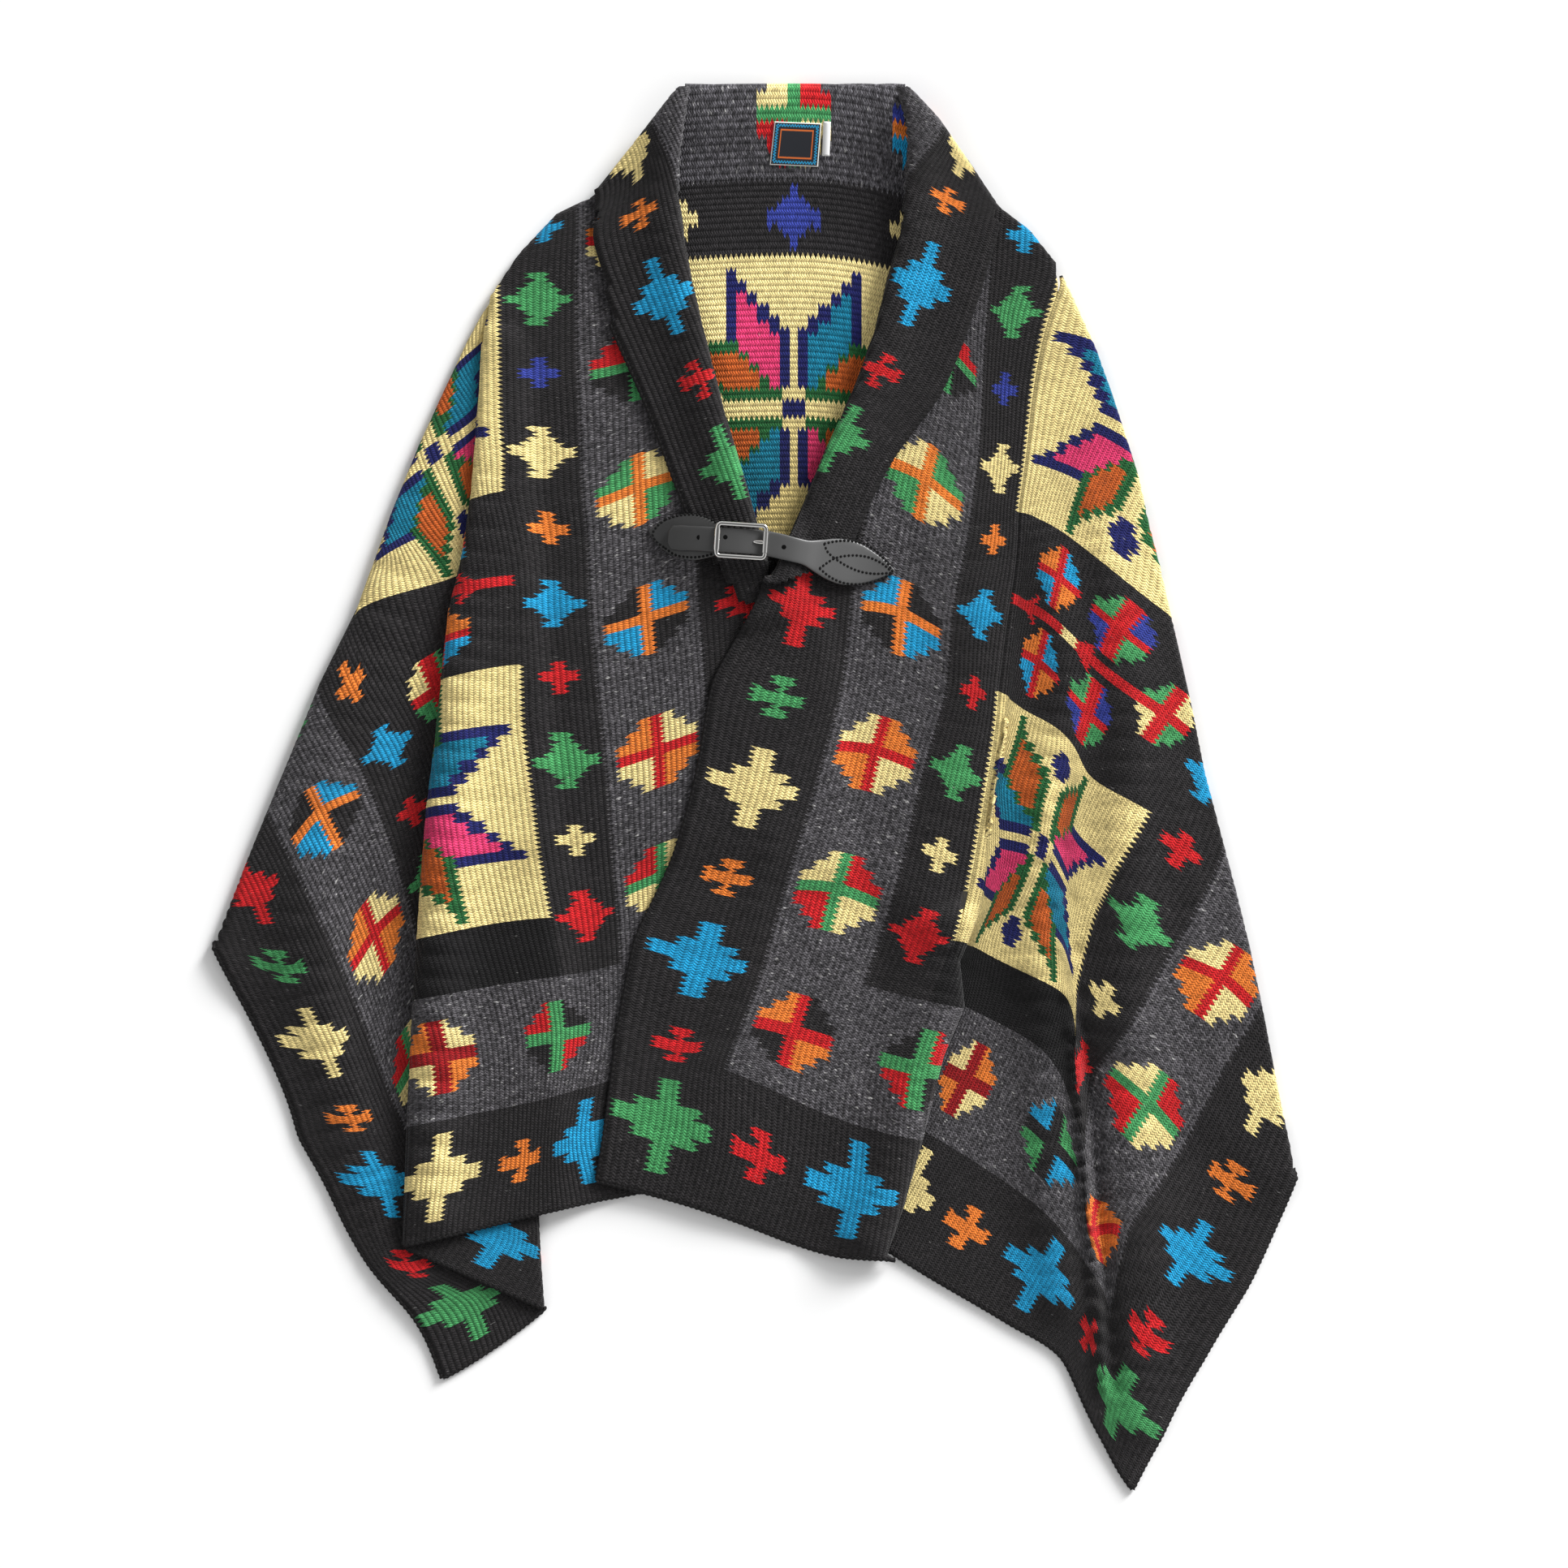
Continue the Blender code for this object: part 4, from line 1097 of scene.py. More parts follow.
def build_grid(name, s_places, v_places, index, spots, z, keep, motifs):
    rows = len(s_places)
    columns = len(v_places)
    number = index.reshape(rows, columns)
    i, j = np.meshgrid(np.arange(rows - 1), np.arange(columns - 1), indexing="ij")
    i = i.ravel()
    j = j.ravel()
    a = number[i, j]
    b = number[i + 1, j]
    c = number[i + 1, j + 1]
    d = number[i, j + 1]
    even = (i % 2) == 0
    first = np.where(even[:, None], np.stack([a, b, d], 1), np.stack([a, b, c], 1))
    second = np.where(even[:, None], np.stack([b, c, d], 1), np.stack([a, c, d], 1))
    triangles = np.vstack([first, second])
    good = (triangles >= 0).all(1)
    triangles = triangles[good]
    s_mid = (np.tile(s_places[i], 2) + 0.5 * (s_places[1] - s_places[0]))[good]
    v_mid = v_places[np.concatenate([j, j + 1])[good]]
    yarns = chart(s_mid, np.clip(v_mid, 0, HIGH), *motifs)
    shown_s = s_places[np.where((number >= 0).any(1))[0]]
    shown_v = v_places[np.where((number >= 0).any(0))[0]]
    CUTS[name] = (
        float(np.ptp(shown_v)) * STEP * MM, float(np.ptp(shown_s)) * STEP * MM,
        len(triangles) * 0.5 * WEFT * RIB * (STEP * MM) ** 2,
    )
    mesh = bpy.data.meshes.new(name)
    vertices = np.column_stack([spots, z]) * MM
    corner_s = np.repeat(s_places, columns)[keep]
    corner_v = np.tile(v_places, rows)[keep]
    # Faces look up
    p = vertices[triangles]
    normal_z = np.cross(p[:, 1] - p[:, 0], p[:, 2] - p[:, 0])[:, 2]
    if np.median(np.sign(normal_z)) < 0:
        triangles = triangles[:, ::-1]
    mesh.from_pydata(vertices.tolist(), [], triangles.tolist())
    colours = np.array([linear(YARN[each]) for each in YARN_NAMES])
    layer = mesh.color_attributes.new("yarn", "FLOAT_COLOR", "CORNER")
    values = np.ones((len(triangles) * 3, 4))
    values[:, :3] = np.repeat(colours[yarns], 3, axis=0)
    if name == "cloth_back":
        # Painted shade darkens the back low in the neck, and painted light brightens it higher up
        shade = np.interp(p[:, :, 1].mean(1) / MM, *NECK_SHADE)
        values[:, :3] *= np.repeat(shade, 3)[:, None] ** NECK_SHADE_TINT
    layer.data.foreach_set("color", values.ravel())
    weave = mesh.uv_layers.new(name="weave")
    flat = triangles.ravel()
    uv = np.column_stack([corner_s[flat], corner_v[flat]]) * STEP * MM
    weave.data.foreach_set("uv", uv.ravel())
    for material in (wool, heather, dark_wool):
        mesh.materials.append(material)
    dark = (yarns == yarn("black")) | (yarns == yarn("jet"))
    kinds = np.where(yarns == yarn("grey"), 1, np.where(dark, 2, 0))
    mesh.polygons.foreach_set("material_index", kinds)
    mesh.polygons.foreach_set("use_smooth", np.ones(len(triangles), bool))
    mesh.update()
    thing = placed(name, mesh)
    borders = []
    if s_places[0] == 0:
        borders.append(number[0])
    if v_places[0] == 0:
        borders.append(number[:, 0])
    if abs(v_places[-1] - HIGH) < 1:
        borders.append(number[:, -1])
    middle = np.column_stack([spots, z - 0.5 * SHELL])
    for border in borders:
        for run in runs_of(border):
            EDGES.append(edge_cord(middle[run], EDGE_PHASE * len(EDGES)))
    shell = thing.modifiers.new("shell", "SOLIDIFY")
    shell.thickness = SHELL * MM
    shell.offset = -1
    shell.use_rim = True
    return thing


EDGE_SIDES = 8
EDGE_RADIUS = 2.1
EDGE_BUMP = 0.45
EDGE_PITCH = 5.25
EDGE_STEP = 1.3
EDGE_PHASE = 0.7


def line_steps(points):
    """How far along a line each of its points is."""
    return np.concatenate([[0], np.cumsum(np.linalg.norm(np.diff(points, axis=0), axis=1))])


def tube_faces(rings, sides, closed=False):
    """Faces of a tube whose points come ring by ring."""
    i, j = np.meshgrid(np.arange(rings if closed else rings - 1), np.arange(sides), indexing="ij")
    here = i * sides
    after = (i + 1) % rings * sides
    k = (j + 1) % sides
    return np.stack([here + j, here + k, after + k, after + j], -1).reshape(-1, 4)


def runs_of(numbers):
    """Unbroken runs of kept vertices along one edge of a grid."""
    run = []
    for number in list(numbers) + [-1]:
        if number >= 0:
            run.append(number)
            continue
        if len(run) > 3:
            yield run
        run = []


def edge_cord(path, phase):
    """A twisted cord along the blanket's firm edge."""
    reach = line_steps(path)
    places = np.arange(0, reach[-1], EDGE_STEP)
    spots = np.column_stack([np.interp(places, reach, path[:, axis]) for axis in range(3)])
    ahead = np.gradient(spots, axis=0)
    ahead /= np.maximum(np.linalg.norm(ahead, axis=1), 1e-6)[:, None]
    side = np.cross(ahead, (0.0, 0.0, 1.0))
    side /= np.maximum(np.linalg.norm(side, axis=1), 1e-6)[:, None]
    rise = np.cross(side, ahead)
    turns = 2 * math.pi * np.arange(EDGE_SIDES) / EDGE_SIDES
    twist = 2 * math.pi * places[:, None] / EDGE_PITCH + turns[None] + phase
    radius = EDGE_RADIUS + EDGE_BUMP * np.cos(twist)
    ring = spots[:, None] + radius[..., None] * (
        np.cos(turns)[None, :, None] * side[:, None] + 0.85 * np.sin(turns)[None, :, None] * rise[:, None]
    )
    return ring.reshape(-1, 3), tube_faces(len(places), EDGE_SIDES)


def left_side(table, first, last):
    return [(row[0], row[1]) for row in table[first:last + 1]]


def right_side(table, first, last):
    return [(row[2], row[3]) for row in table[first:last + 1]]


# How the back lies: its bands across and where they are down the garment, in steps,
# its middle, and how much it droops to the left and right of it
BACK_BANDS = ((0, 152, 186, 247, 292, 337, 513, 1026), (-90, 98, 142, 219, 266, 319, 504, 1016))
BACK_MIDDLE = 978
BACK_DROOP = (0.0003, 0.00113)


def back_map(u, v):
    dx = u - LONG / 2
    drop = np.where(dx < 0, *BACK_DROOP) * dx * dx
    return np.column_stack(to_mm(BACK_MIDDLE + dx, np.interp(v, *BACK_BANDS) + drop))


SEAM_TOP = 368.0
SEAM_ACROSS = SEAM_RIB * RIB + 0.1
SEAM_FADE = 45
PLEAT_FADE = 70
# The collar's foot on the garment, in millimetres
COLLAR_FOOT = 190
COLLAR_LOOSE = (215, 520)
# Where the collar ends at the neck, and the neck's opening
NECK_LINE = 642
NECK_SIDES = (-66, 140)
NECK_INSIDE = 600
NECK_FRONT = 628
# Steps along the blanket that count as hem, and the millimetres kept there
HEM_STEPS = 60
HEM_REACH = 14


def wing_share(s, v):
    """How far the right side follows the wing: none at the seam line, all below the pleat's top."""
    return np.maximum(soft_step((v - SEAM_ACROSS) / SEAM_FADE), soft_step((SEAM_TOP - s) / PLEAT_FADE))


def right_wing_place(s, v):
    front = right_front_map(s, v)
    wing = right_wing_map(s, v)
    return front + (wing - front) * wing_share(s, v)[:, None]


def right_wing_height(weave, spots):
    share = wing_share(weave[:, 0], weave[:, 1])
    front = right_front.top(spots)
    return front + (right_wing.top(spots) - front) * share


# Which points of each cloth are kept: those inside its outline, and a little past it where it tucks
# under the next cloth or hangs free. Reaches and places are in millimetres.
def front_part(s, v, spots):
    under_collar = (spots[:, 1] > COLLAR_FOOT) & (spots[:, 0] < 175)
    reach = np.where(under_collar, 1, np.where(spots[:, 1] > 448, 8, 24))
    clear = inside_depth(spots, right_front.ring) > -reach
    return clear & ((v <= SEAM_ACROSS) | (s < SEAM_TOP))


def wing_part(s, v, spots):
    beside_seam = (v < SEAM_ACROSS + SEAM_FADE) & (spots[:, 1] < 445)
    reach = np.where(s < HEM_STEPS, HEM_REACH, np.where(spots[:, 1] > 455, 4, 7))
    reach = np.where(beside_seam, 24, reach)
    return inside_depth(spots, right_wing.ring) > -reach


def left_wing_part(s, v, spots):
    under_front = (spots[:, 0] > -215) & (spots[:, 1] < -340)
    reach = np.where(under_front, 5, np.where(s < HEM_STEPS, HEM_REACH, 7))
    reach = np.where(spots[:, 1] > 340, 30, reach)
    return inside_depth(spots, left_wing.ring) > -reach


def collar_part(stretch):
    def part(s, v, spots):
        low, high = COLLAR_LOOSE
        loose = (spots[:, 1] > low) & (spots[:, 1] < high)
        reach = np.where(loose, 12, np.where(spots[:, 1] > high, 3, 7))
        inside = inside_depth(spots, stretch.ring) > -reach
        return inside & (spots[:, 1] < NECK_LINE)
    return part


def left_part(s, v, spots):
    under_collar = (spots[:, 1] > COLLAR_FOOT) & (spots[:, 0] > -160)
    return ~under_collar | (inside_depth(spots, left_front.ring) > -1)


def neck_part(u, v, spots):
    inside = (spots[:, 0] > NECK_SIDES[0]) & (spots[:, 0] < NECK_SIDES[1])
    near_neck = spots[:, 1] > NECK_INSIDE
    return (inside | (spots[:, 1] < NECK_FRONT)) & (near_neck | (inside_depth(spots, back.ring) > -1))


blanket_back = make_cloth(
    "cloth_back", back, back_map, (560, 2720), (15, 146),
    [Fold([(-90, 647), (160, 647)][::-1], 7.0, low=TUCKED)], 9.0, only=neck_part,
)
# Outer line of the left side where it meets the shoulder, in millimetres
LEFT_WING_TOP = [(-235, 458), (-252, 434), (-265, 410)]
wing_left = make_cloth(
    "cloth_left_wing", left_wing, left_wing_map, (0, 1500), (48, 146),
    [
        Fold(LEFT_WING_TOP + left_side(LEFT_WING, 2, 9), 4.0, low=TUCKED),
        Fold(right_side(LEFT_WING, 11, 14)[::-1], 4.0, low=TUCKED),
    ], 30.0, only=left_wing_part,
)
pleat_left = make_cloth(
    "cloth_left_pleat", left_pleat, left_pleat_map, (0, 700), (80, 128),
    [Fold(right_side(LEFT_PLEAT, 2, 7)[::-1], 4.0)], 3.0,
)
front_left = make_cloth(
    "cloth_left_front", left_front, left_front_map, (0, 1560), (0, 90),
    [
        Fold(left_side(LEFT_FRONT, 0, 7), 5.0, low=TUCKED),
        Fold(left_side(LEFT_FRONT, 7, 18), 8.0),
    ], 4.0, only=left_part,
)
front_right = make_cloth(
    "cloth_right_front", right_front, right_front_map, (0, 1560), (0, 56),
    [
        Fold(right_side(RIGHT_FRONT, 0, 6)[::-1], 5.0, low=TUCKED),
        Fold(right_side(RIGHT_FRONT, 18, 24)[::-1], 8.0, taper=90.0),
    ], 24.0, only=front_part,
)
wing_right = make_cloth(
    "cloth_right_wing", right_wing, right_wing_place, (0, 1500), (48, 146),
    [
        Fold((
            [(281, 477)] + list(RIGHT_WING_EDGE[1:])
            + [(470, -212), (483, -280), (495, -336), (499, -362)]
        )[::-1], 4.0, low=TUCKED),
    ], 24.0, only=wing_part, height=right_wing_height,
)


# Crosses down each collar. Columns: s, x, y, slope across in degrees, reach to the free edge
LEFT_COLLAR = (
    (1480, 761, 60, -15, 70), (1420, 751, 112, -15, 72), (1348, 783, 187, -40, 76),
    (1241, 790, 265, -25, 82), (1135, 822, 370, -22, 76), (1029, 862, 470, -21, 72),
    (923, 901, 573, -20, 72), (817, 934, 668, -19, 68), (720, 964, 755, -19, 68),
)
RIGHT_COLLAR = (
    (1480, 1195, 60, -165, 70), (1420, 1205, 112, -165, 70), (1348, 1186, 188, -142, 70),
    (1241, 1166, 248, -155, 70), (1135, 1132, 354, -158, 72), (1029, 1083, 460, -160, 78),
    (923, 1031, 538, -161, 74), (817, 985, 645, -162, 68), (720, 950, 738, -162, 68),
)
COLLAR_SPREAD = 1.0
COLLAR_TOP = 1300
COLLAR_TOP_SPREAD = 0.62
COLLAR_ACROSS = 68
COLLAR_MOTIFS = (COLLAR_ACROSS, 0.8)


def collar_map(table):
    ties = []
    for s, x, y, slope, edge in table:
        turn = math.radians(slope)
        spread = COLLAR_SPREAD if s < COLLAR_TOP else COLLAR_TOP_SPREAD
        for v in (0, COLLAR_ACROSS, 120):
            reach = -edge if v == 0 else (v - COLLAR_ACROSS) * spread
            ties.append((s, v, x + reach * math.cos(turn), y + reach * math.sin(turn)))
    return Spread(ties)


collar_left = make_cloth(
    "cloth_lapel_left", left_lapel, collar_map(LEFT_COLLAR), (700, 1440), (0, 34),
    [
        Fold(right_side(LEFT_LAPEL, 0, 13)[::-1], 6.0),
        Fold(left_side(LEFT_LAPEL, 0, 3), 5.0),
    ], 12.0, only=collar_part(left_lapel), motifs=COLLAR_MOTIFS,
)
collar_right = make_cloth(
    "cloth_lapel_right", right_lapel, collar_map(RIGHT_COLLAR), (700, 1440), (0, 34),
    [
        Fold(left_side(RIGHT_LAPEL, 0, 13), 6.0),
        Fold(right_side(RIGHT_LAPEL, 0, 3)[::-1], 5.0),
    ], 12.0, only=collar_part(right_lapel), motifs=COLLAR_MOTIFS,
)

# Each cloth, the solid it stands for, how it is held and what it lies on
CLOTHS = (
    (blanket_back, "blanket_back", "laid", ()),
    (wing_left, "blanket_left_wing", "folded", ("cloth_back",)),
    (pleat_left, "blanket_left_pleat", "folded", ("cloth_left_wing",)),
    (front_left, "blanket_left_front", "folded", ("cloth_back", "cloth_left_wing", "cloth_left_pleat")),
    (front_right, "blanket_right_front", "folded", ("cloth_back", "cloth_left_front", "cloth_right_wing")),
    (wing_right, "blanket_right_wing", "folded", ("cloth_back",)),
    (collar_left, "lapel_left", "folded", ("cloth_left_front",)),
    (collar_right, "lapel_right", "folded", ("cloth_right_front",)),
)


def plain_material(name, colour, roughness, metallic=0.0, specular=0.5):
    return new_material(name, {
        "Base Color": (*colour, 1.0), "Roughness": roughness, "Metallic": metallic,
        "Specular IOR Level": specular,
    })[0]


def joined(parts):
    """Points and faces of several parts as one."""
    starts = np.cumsum([0] + [len(points) for points, faces in parts[:-1]])
    faces = [part[1] + start for part, start in zip(parts, starts)]
    return np.vstack([part[0] for part in parts]), np.vstack(faces)


def mesh_piece(name, vertices, faces, material):
    mesh = bpy.data.meshes.new(name)
    mesh.from_pydata((np.asarray(vertices) * MM).tolist(), [], np.asarray(faces).tolist())
    mesh.materials.append(material)
    mesh.polygons.foreach_set("use_smooth", np.ones(len(mesh.polygons), bool))
    mesh.update()
    return placed(name, mesh)


cord_wool = plain_material("cord_wool", (0.016, 0.015, 0.0155), 0.9, specular=0.2)
edging = mesh_piece("blanket_edging", *joined(EDGES), cord_wool)
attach(edging, "root")

# Strap leather, in millimetres. Columns: x and y along the middle, half widths up and down, underside
TAB_SHAPE = (
    (-97.5, 234.0, 0.8, 0.8, 9.3),
    (-93.0, 233.2, 6.0, 6.5, 9.3),
    (-86.0, 232.0, 11.5, 12.5, 9.7),
    (-76.0, 230.5, 17.0, 18.0, 11.6),
    (-64.0, 228.8, 20.5, 21.0, 15.8),
    (-52.0, 227.4, 20.0, 21.0, 20.6),
    (-42.0, 226.3, 17.0, 18.0, 24.0),
    (-33.0, 225.4, 13.5, 14.5, 26.0),
)
STRAP_SHAPE = (
    (-80.0, 228.0, 5.0, 5.0, 14.7),
    (-77.5, 227.8, 9.6, 9.6, 15.5),
    (-72.0, 227.4, 11.4, 11.4, 17.3),
    (-60.0, 226.7, 11.5, 11.5, 21.6),
    (-48.0, 226.0, 11.5, 11.5, 26.4),
    (-39.0, 225.4, 11.5, 11.5, 28.7),
    (-35.0, 225.2, 11.5, 11.5, 29.2),
    (-31.0, 224.9, 11.5, 11.5, 29.3),
    (-22.0, 224.3, 11.5, 11.5, 29.0),
    (-12.0, 223.7, 11.5, 11.5, 28.2),
    (-3.0, 223.1, 11.5, 11.5, 26.9),
    (5.0, 222.4, 11.5, 11.5, 25.5),
    (12.0, 221.6, 11.5, 11.5, 25.3),
    (24.0, 219.0, 11.5, 11.5, 26.5),
    (36.0, 216.0, 11.2, 11.3, 26.1),
    (48.0, 213.2, 11.6, 11.8, 22.9),
    (58.0, 211.0, 14.6, 15.4, 18.6),
    (69.0, 208.7, 18.2, 19.4, 15.6),
    (82.0, 206.2, 20.0, 21.6, 12.8),
    (96.0, 203.4, 18.2, 19.6, 10.0),
    (108.0, 201.2, 13.4, 14.4, 8.7),
    (119.0, 199.2, 7.4, 8.2, 8.7),
    (126.0, 197.9, 3.0, 3.4, 8.7),
    (129.0, 197.3, 0.8, 0.8, 8.7),
)
TAB_THICK = 2.8
STRAP_THICK = 2.5

leather = plain_material("black_bridle_leather", (0.06, 0.058, 0.06), 0.4, specular=0.7)
# Painted sheen: the leather is painted darker towards the left leaf and lighter to the right, standing in
# for its satin sheen. Left and right in metres, then the tones there
LEATHER_SHEEN_TONES = (-0.075, 0.06, 0.026, 0.092)
leather_nodes = leather.node_tree.nodes
leather_place = leather_nodes.new("ShaderNodeTexCoord")
leather_split = leather_nodes.new("ShaderNodeSeparateXYZ")
leather_range = leather_nodes.new("ShaderNodeMapRange")
leather_sheen = leather_nodes.new("ShaderNodeCombineColor")
for socket, number in zip(RANGE_SOCKETS, LEATHER_SHEEN_TONES):
    leather_range.inputs[socket].default_value = number
leather_links = leather.node_tree.links
leather_links.new(leather_place.outputs["Object"], leather_split.inputs[0])
leather_links.new(leather_split.outputs["X"], leather_range.inputs["Value"])
for channel in CHANNELS:
    leather_links.new(leather_range.outputs["Result"], leather_sheen.inputs[channel])
# The painted sheen ramp feeds the leather's base colour
leather_links.new(leather_sheen.outputs["Color"], leather_nodes["Principled BSDF"].inputs["Base Color"])
thread = plain_material("black_thread", (0.004, 0.004, 0.004), 0.75, specular=0.2)
# Painted shade: a near-black finish for the shadowed inside of each punched hole
hole_shade = plain_material("painted_hole_shade", (0.002, 0.002, 0.002), 0.9, specular=0.1)
metal = plain_material("polished_nickel", (0.84, 0.83, 0.81), 0.09, metallic=1.0)
# Share of the half width, and how far the surface drops there
LEATHER_COLUMNS = (
    (-1.0, 1.0), (-0.985, 0.55), (-0.95, 0.22), (-0.88, 0.05), (-0.7, 0.0), (-0.35, 0.0), (0.0, 0.0),
    (0.35, 0.0), (0.7, 0.0), (0.88, 0.05), (0.95, 0.22), (0.985, 0.55), (1.0, 1.0),
)


def smooth_rows(rows, count=200):
    """Rows at even steps along a line, smoothly through the given ones."""
    rows = np.asarray(rows, float)
    steps = line_steps(rows[:, 0:2])
    slopes = np.gradient(rows, steps, axis=0)
    fine = np.linspace(0, steps[-1], count)
    place = np.clip(np.searchsorted(steps, fine, side="right") - 1, 0, len(rows) - 2)
    span = (steps[place + 1] - steps[place])[:, None]
    share = (fine - steps[place])[:, None] / span
    return (
        (2 * share**3 - 3 * share**2 + 1) * rows[place]
        + (share**3 - 2 * share**2 + share) * span * slopes[place]
        + (3 * share**2 - 2 * share**3) * rows[place + 1]
        + (share**3 - share**2) * span * slopes[place + 1]
    )


class Leather:
    """A strap of leather along its middle line, with rounded edges."""

    def __init__(self, shape, thick, count):
        self.rows = smooth_rows(shape, count)
        self.rows[:, 2:4] = np.maximum(self.rows[:, 2:4], 0.5)
        ahead = np.gradient(self.rows[:, 0:2], axis=0)
        ahead /= np.linalg.norm(ahead, axis=1)[:, None]
        self.ahead = ahead
        self.side = np.column_stack([-ahead[:, 1], ahead[:, 0]])
        self.thick = thick

    def build(self, name):
        count = len(self.rows)
        upper = []
        lower = []
        for row, side in zip(self.rows, self.side):
            for share, drop in LEATHER_COLUMNS:
                reach = share * (row[2] if share > 0 else row[3])
                spot = row[0:2] + reach * side
                upper.append((*spot, row[4] + self.thick - 0.5 * self.thick * drop))
                lower.append((*spot, row[4] + 0.35 * self.thick * drop))
        width = len(LEATHER_COLUMNS)
        faces = []
        base = count * width
        for i in range(count - 1):
            for j in range(width - 1):
                a, b = i * width + j, (i + 1) * width + j
                faces.append((a, b, b + 1, a + 1))
                faces.append((base + a, base + a + 1, base + b + 1, base + b))
            for j, flip in ((0, 1), (width - 1, 0)):
                a, b = i * width + j, (i + 1) * width + j
                faces.append((a, base + a, base + b, b) if flip else (a, b, base + b, base + a))
        for i, flip in ((0, 0), (count - 1, 1)):
            for j in range(width - 1):
                a = i * width + j
                faces.append((a, a + 1, base + a + 1, base + a) if not flip else
                             (a, base + a, base + a + 1, a + 1))
        return mesh_piece(name, upper + lower, faces, leather)

    def height(self, spot):
        near = ((self.rows[:, 0:2] - spot) ** 2).sum(1).argmin()
        near = min(max(near, 1), len(self.rows) - 2)
        reach = float(((np.asarray(spot) - self.rows[near, 0:2]) * self.ahead[near]).sum())
        slope = (self.rows[near + 1, 4] - self.rows[near - 1, 4]) / np.linalg.norm(
            self.rows[near + 1, 0:2] - self.rows[near - 1, 0:2])
        return self.rows[near, 4] + slope * reach + self.thick


# Stitch lines on the leather. Each: on the strap or the tab, then points right and down in steps
SEWING_X = 820.0
SEWING_Y = 600.0
SEWING_SCALE = 5.227
TAB_SEWING = (
    ((0, 215), (60, 195), (170, 185), (260, 200), (330, 240)),
    ((0, 400), (60, 440), (160, 460), (250, 455), (310, 440)),
    ((0, 215), (-55, 262), (-80, 308), (-50, 360), (0, 400)),
)
STRAP_SEWING = (
    ((1020, 372), (1100, 355), (1200, 352), (1280, 370), (1350, 410), (1420, 480), (1460, 545)),
    ((990, 530), (1060, 585), (1140, 620), (1220, 630), (1310, 622), (1400, 590), (1460, 555)),
    ((1020, 372), (1040, 420), (1080, 460)),
    ((990, 530), (1090, 465), (1200, 445), (1300, 455), (1400, 500), (1455, 548)),
    ((1080, 460), (1170, 515), (1260, 550), (1350, 562), (1450, 556)),
)
STITCH_PITCH = 3.7
STITCH_LONG = 1.45
STITCH_WIDE = 1.25
STITCH_HIGH = 0.5
STRAP_HOLES = ((862, 664), (894, 664), (966, 676))
HOLE_RADIUS = 2.3
HOLE_HIGH = 0.3
HOLE_SINK = 0.1


def ellipsoid(spot, ahead, long_half, wide_half, high_half, rings=5, sides=8):
    """Points and faces of a bead that points ahead."""
    side = np.cross((0, 0, 1), ahead)
    points = []
    for polar in math.pi * np.arange(rings + 1) / rings:
        for turn in 2 * math.pi * np.arange(sides) / sides:
            points.append(
                spot + long_half * math.cos(polar) * ahead
                + wide_half * math.sin(polar) * math.cos(turn) * side
                + np.array([0, 0, high_half * math.sin(polar) * math.sin(turn)])
            )
    return np.array(points), tube_faces(rings + 1, sides)


def sew(name, leather_piece, lines):
    stitches = []
    for line in lines:
        line = np.asarray(line, float) / SEWING_SCALE + (SEWING_X, SEWING_Y)
        path = smooth_rows(np.column_stack(to_mm(line[:, 0], line[:, 1])))
        steps = line_steps(path)
        for reach in np.arange(0.6, steps[-1], STITCH_PITCH):
            spot = np.array([np.interp(reach, steps, path[:, axis]) for axis in range(2)])
            after = np.array([np.interp(reach + 0.5, steps, path[:, axis]) for axis in range(2)])
            ahead = np.array([*(after - spot), 0.0])
            size = np.linalg.norm(ahead)
            if size < 1e-3:
                continue
            middle = np.array([*spot, leather_piece.height(spot) + 0.02])
            stitches.append(ellipsoid(middle, ahead / size, STITCH_LONG, STITCH_WIDE, STITCH_HIGH))
    return mesh_piece(name, *joined(stitches), thread)


tab = Leather(TAB_SHAPE, TAB_THICK, 70)
strap = Leather(STRAP_SHAPE, STRAP_THICK, 190)
tab_piece = tab.build("leather_tab")
strap_piece = strap.build("leather_strap")
tab_thread = sew("tab_stitches", tab, TAB_SEWING)
strap_thread = sew("strap_stitches", strap, STRAP_SEWING)
# Each strap hole is a near-black bead on the leather, painted shade of the hole
hole_beads = []
for x, y in STRAP_HOLES:
    spot = np.array(to_mm(x, y))
    middle = np.array([*spot, strap.height(spot) - HOLE_SINK])
    hole_beads.append(ellipsoid(middle, np.array([1.0, 0, 0]), HOLE_RADIUS, HOLE_RADIUS, HOLE_HIGH, 8, 16))
holes = mesh_piece("strap_holes", *joined(hole_beads), hole_shade)
for thing in (tab_piece, strap_piece, tab_thread, strap_thread, holes):
    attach(thing, "root")
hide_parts("strap_tab")
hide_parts("strap_tongue")
body = bpy.data.objects["buckle_roller"]
body.data.materials.clear()
body.data.materials.append(metal)
body.data.polygons.foreach_set("use_smooth", np.ones(len(body.data.polygons), bool))

# Buckle loop round the strap, in millimetres; its far bar lies over the leather
LOOP_MIDDLE = np.array([-12.2, 224.0])
LOOP_TURN = math.radians(-3.6)
LOOP_HALF_LONG = 22.2
LOOP_HALF_HIGH = 14.9
LOOP_CORNER = 3.4
LOOP_WIDE = 2.05
LOOP_BAR_WIDE = 2.7
LOOP_THICK = 1.5
LOOP_PIN = 1.4
LOOP_HEIGHT = 31.0
LOOP_RISE = 2.4
ROLLER_END = 10.3
LOOP_SIDES = 16
PRONG_MIDDLE = np.array([5.2, 222.8, 29.5])
PRONG_HALVES = (6.6, 1.9, 1.3)


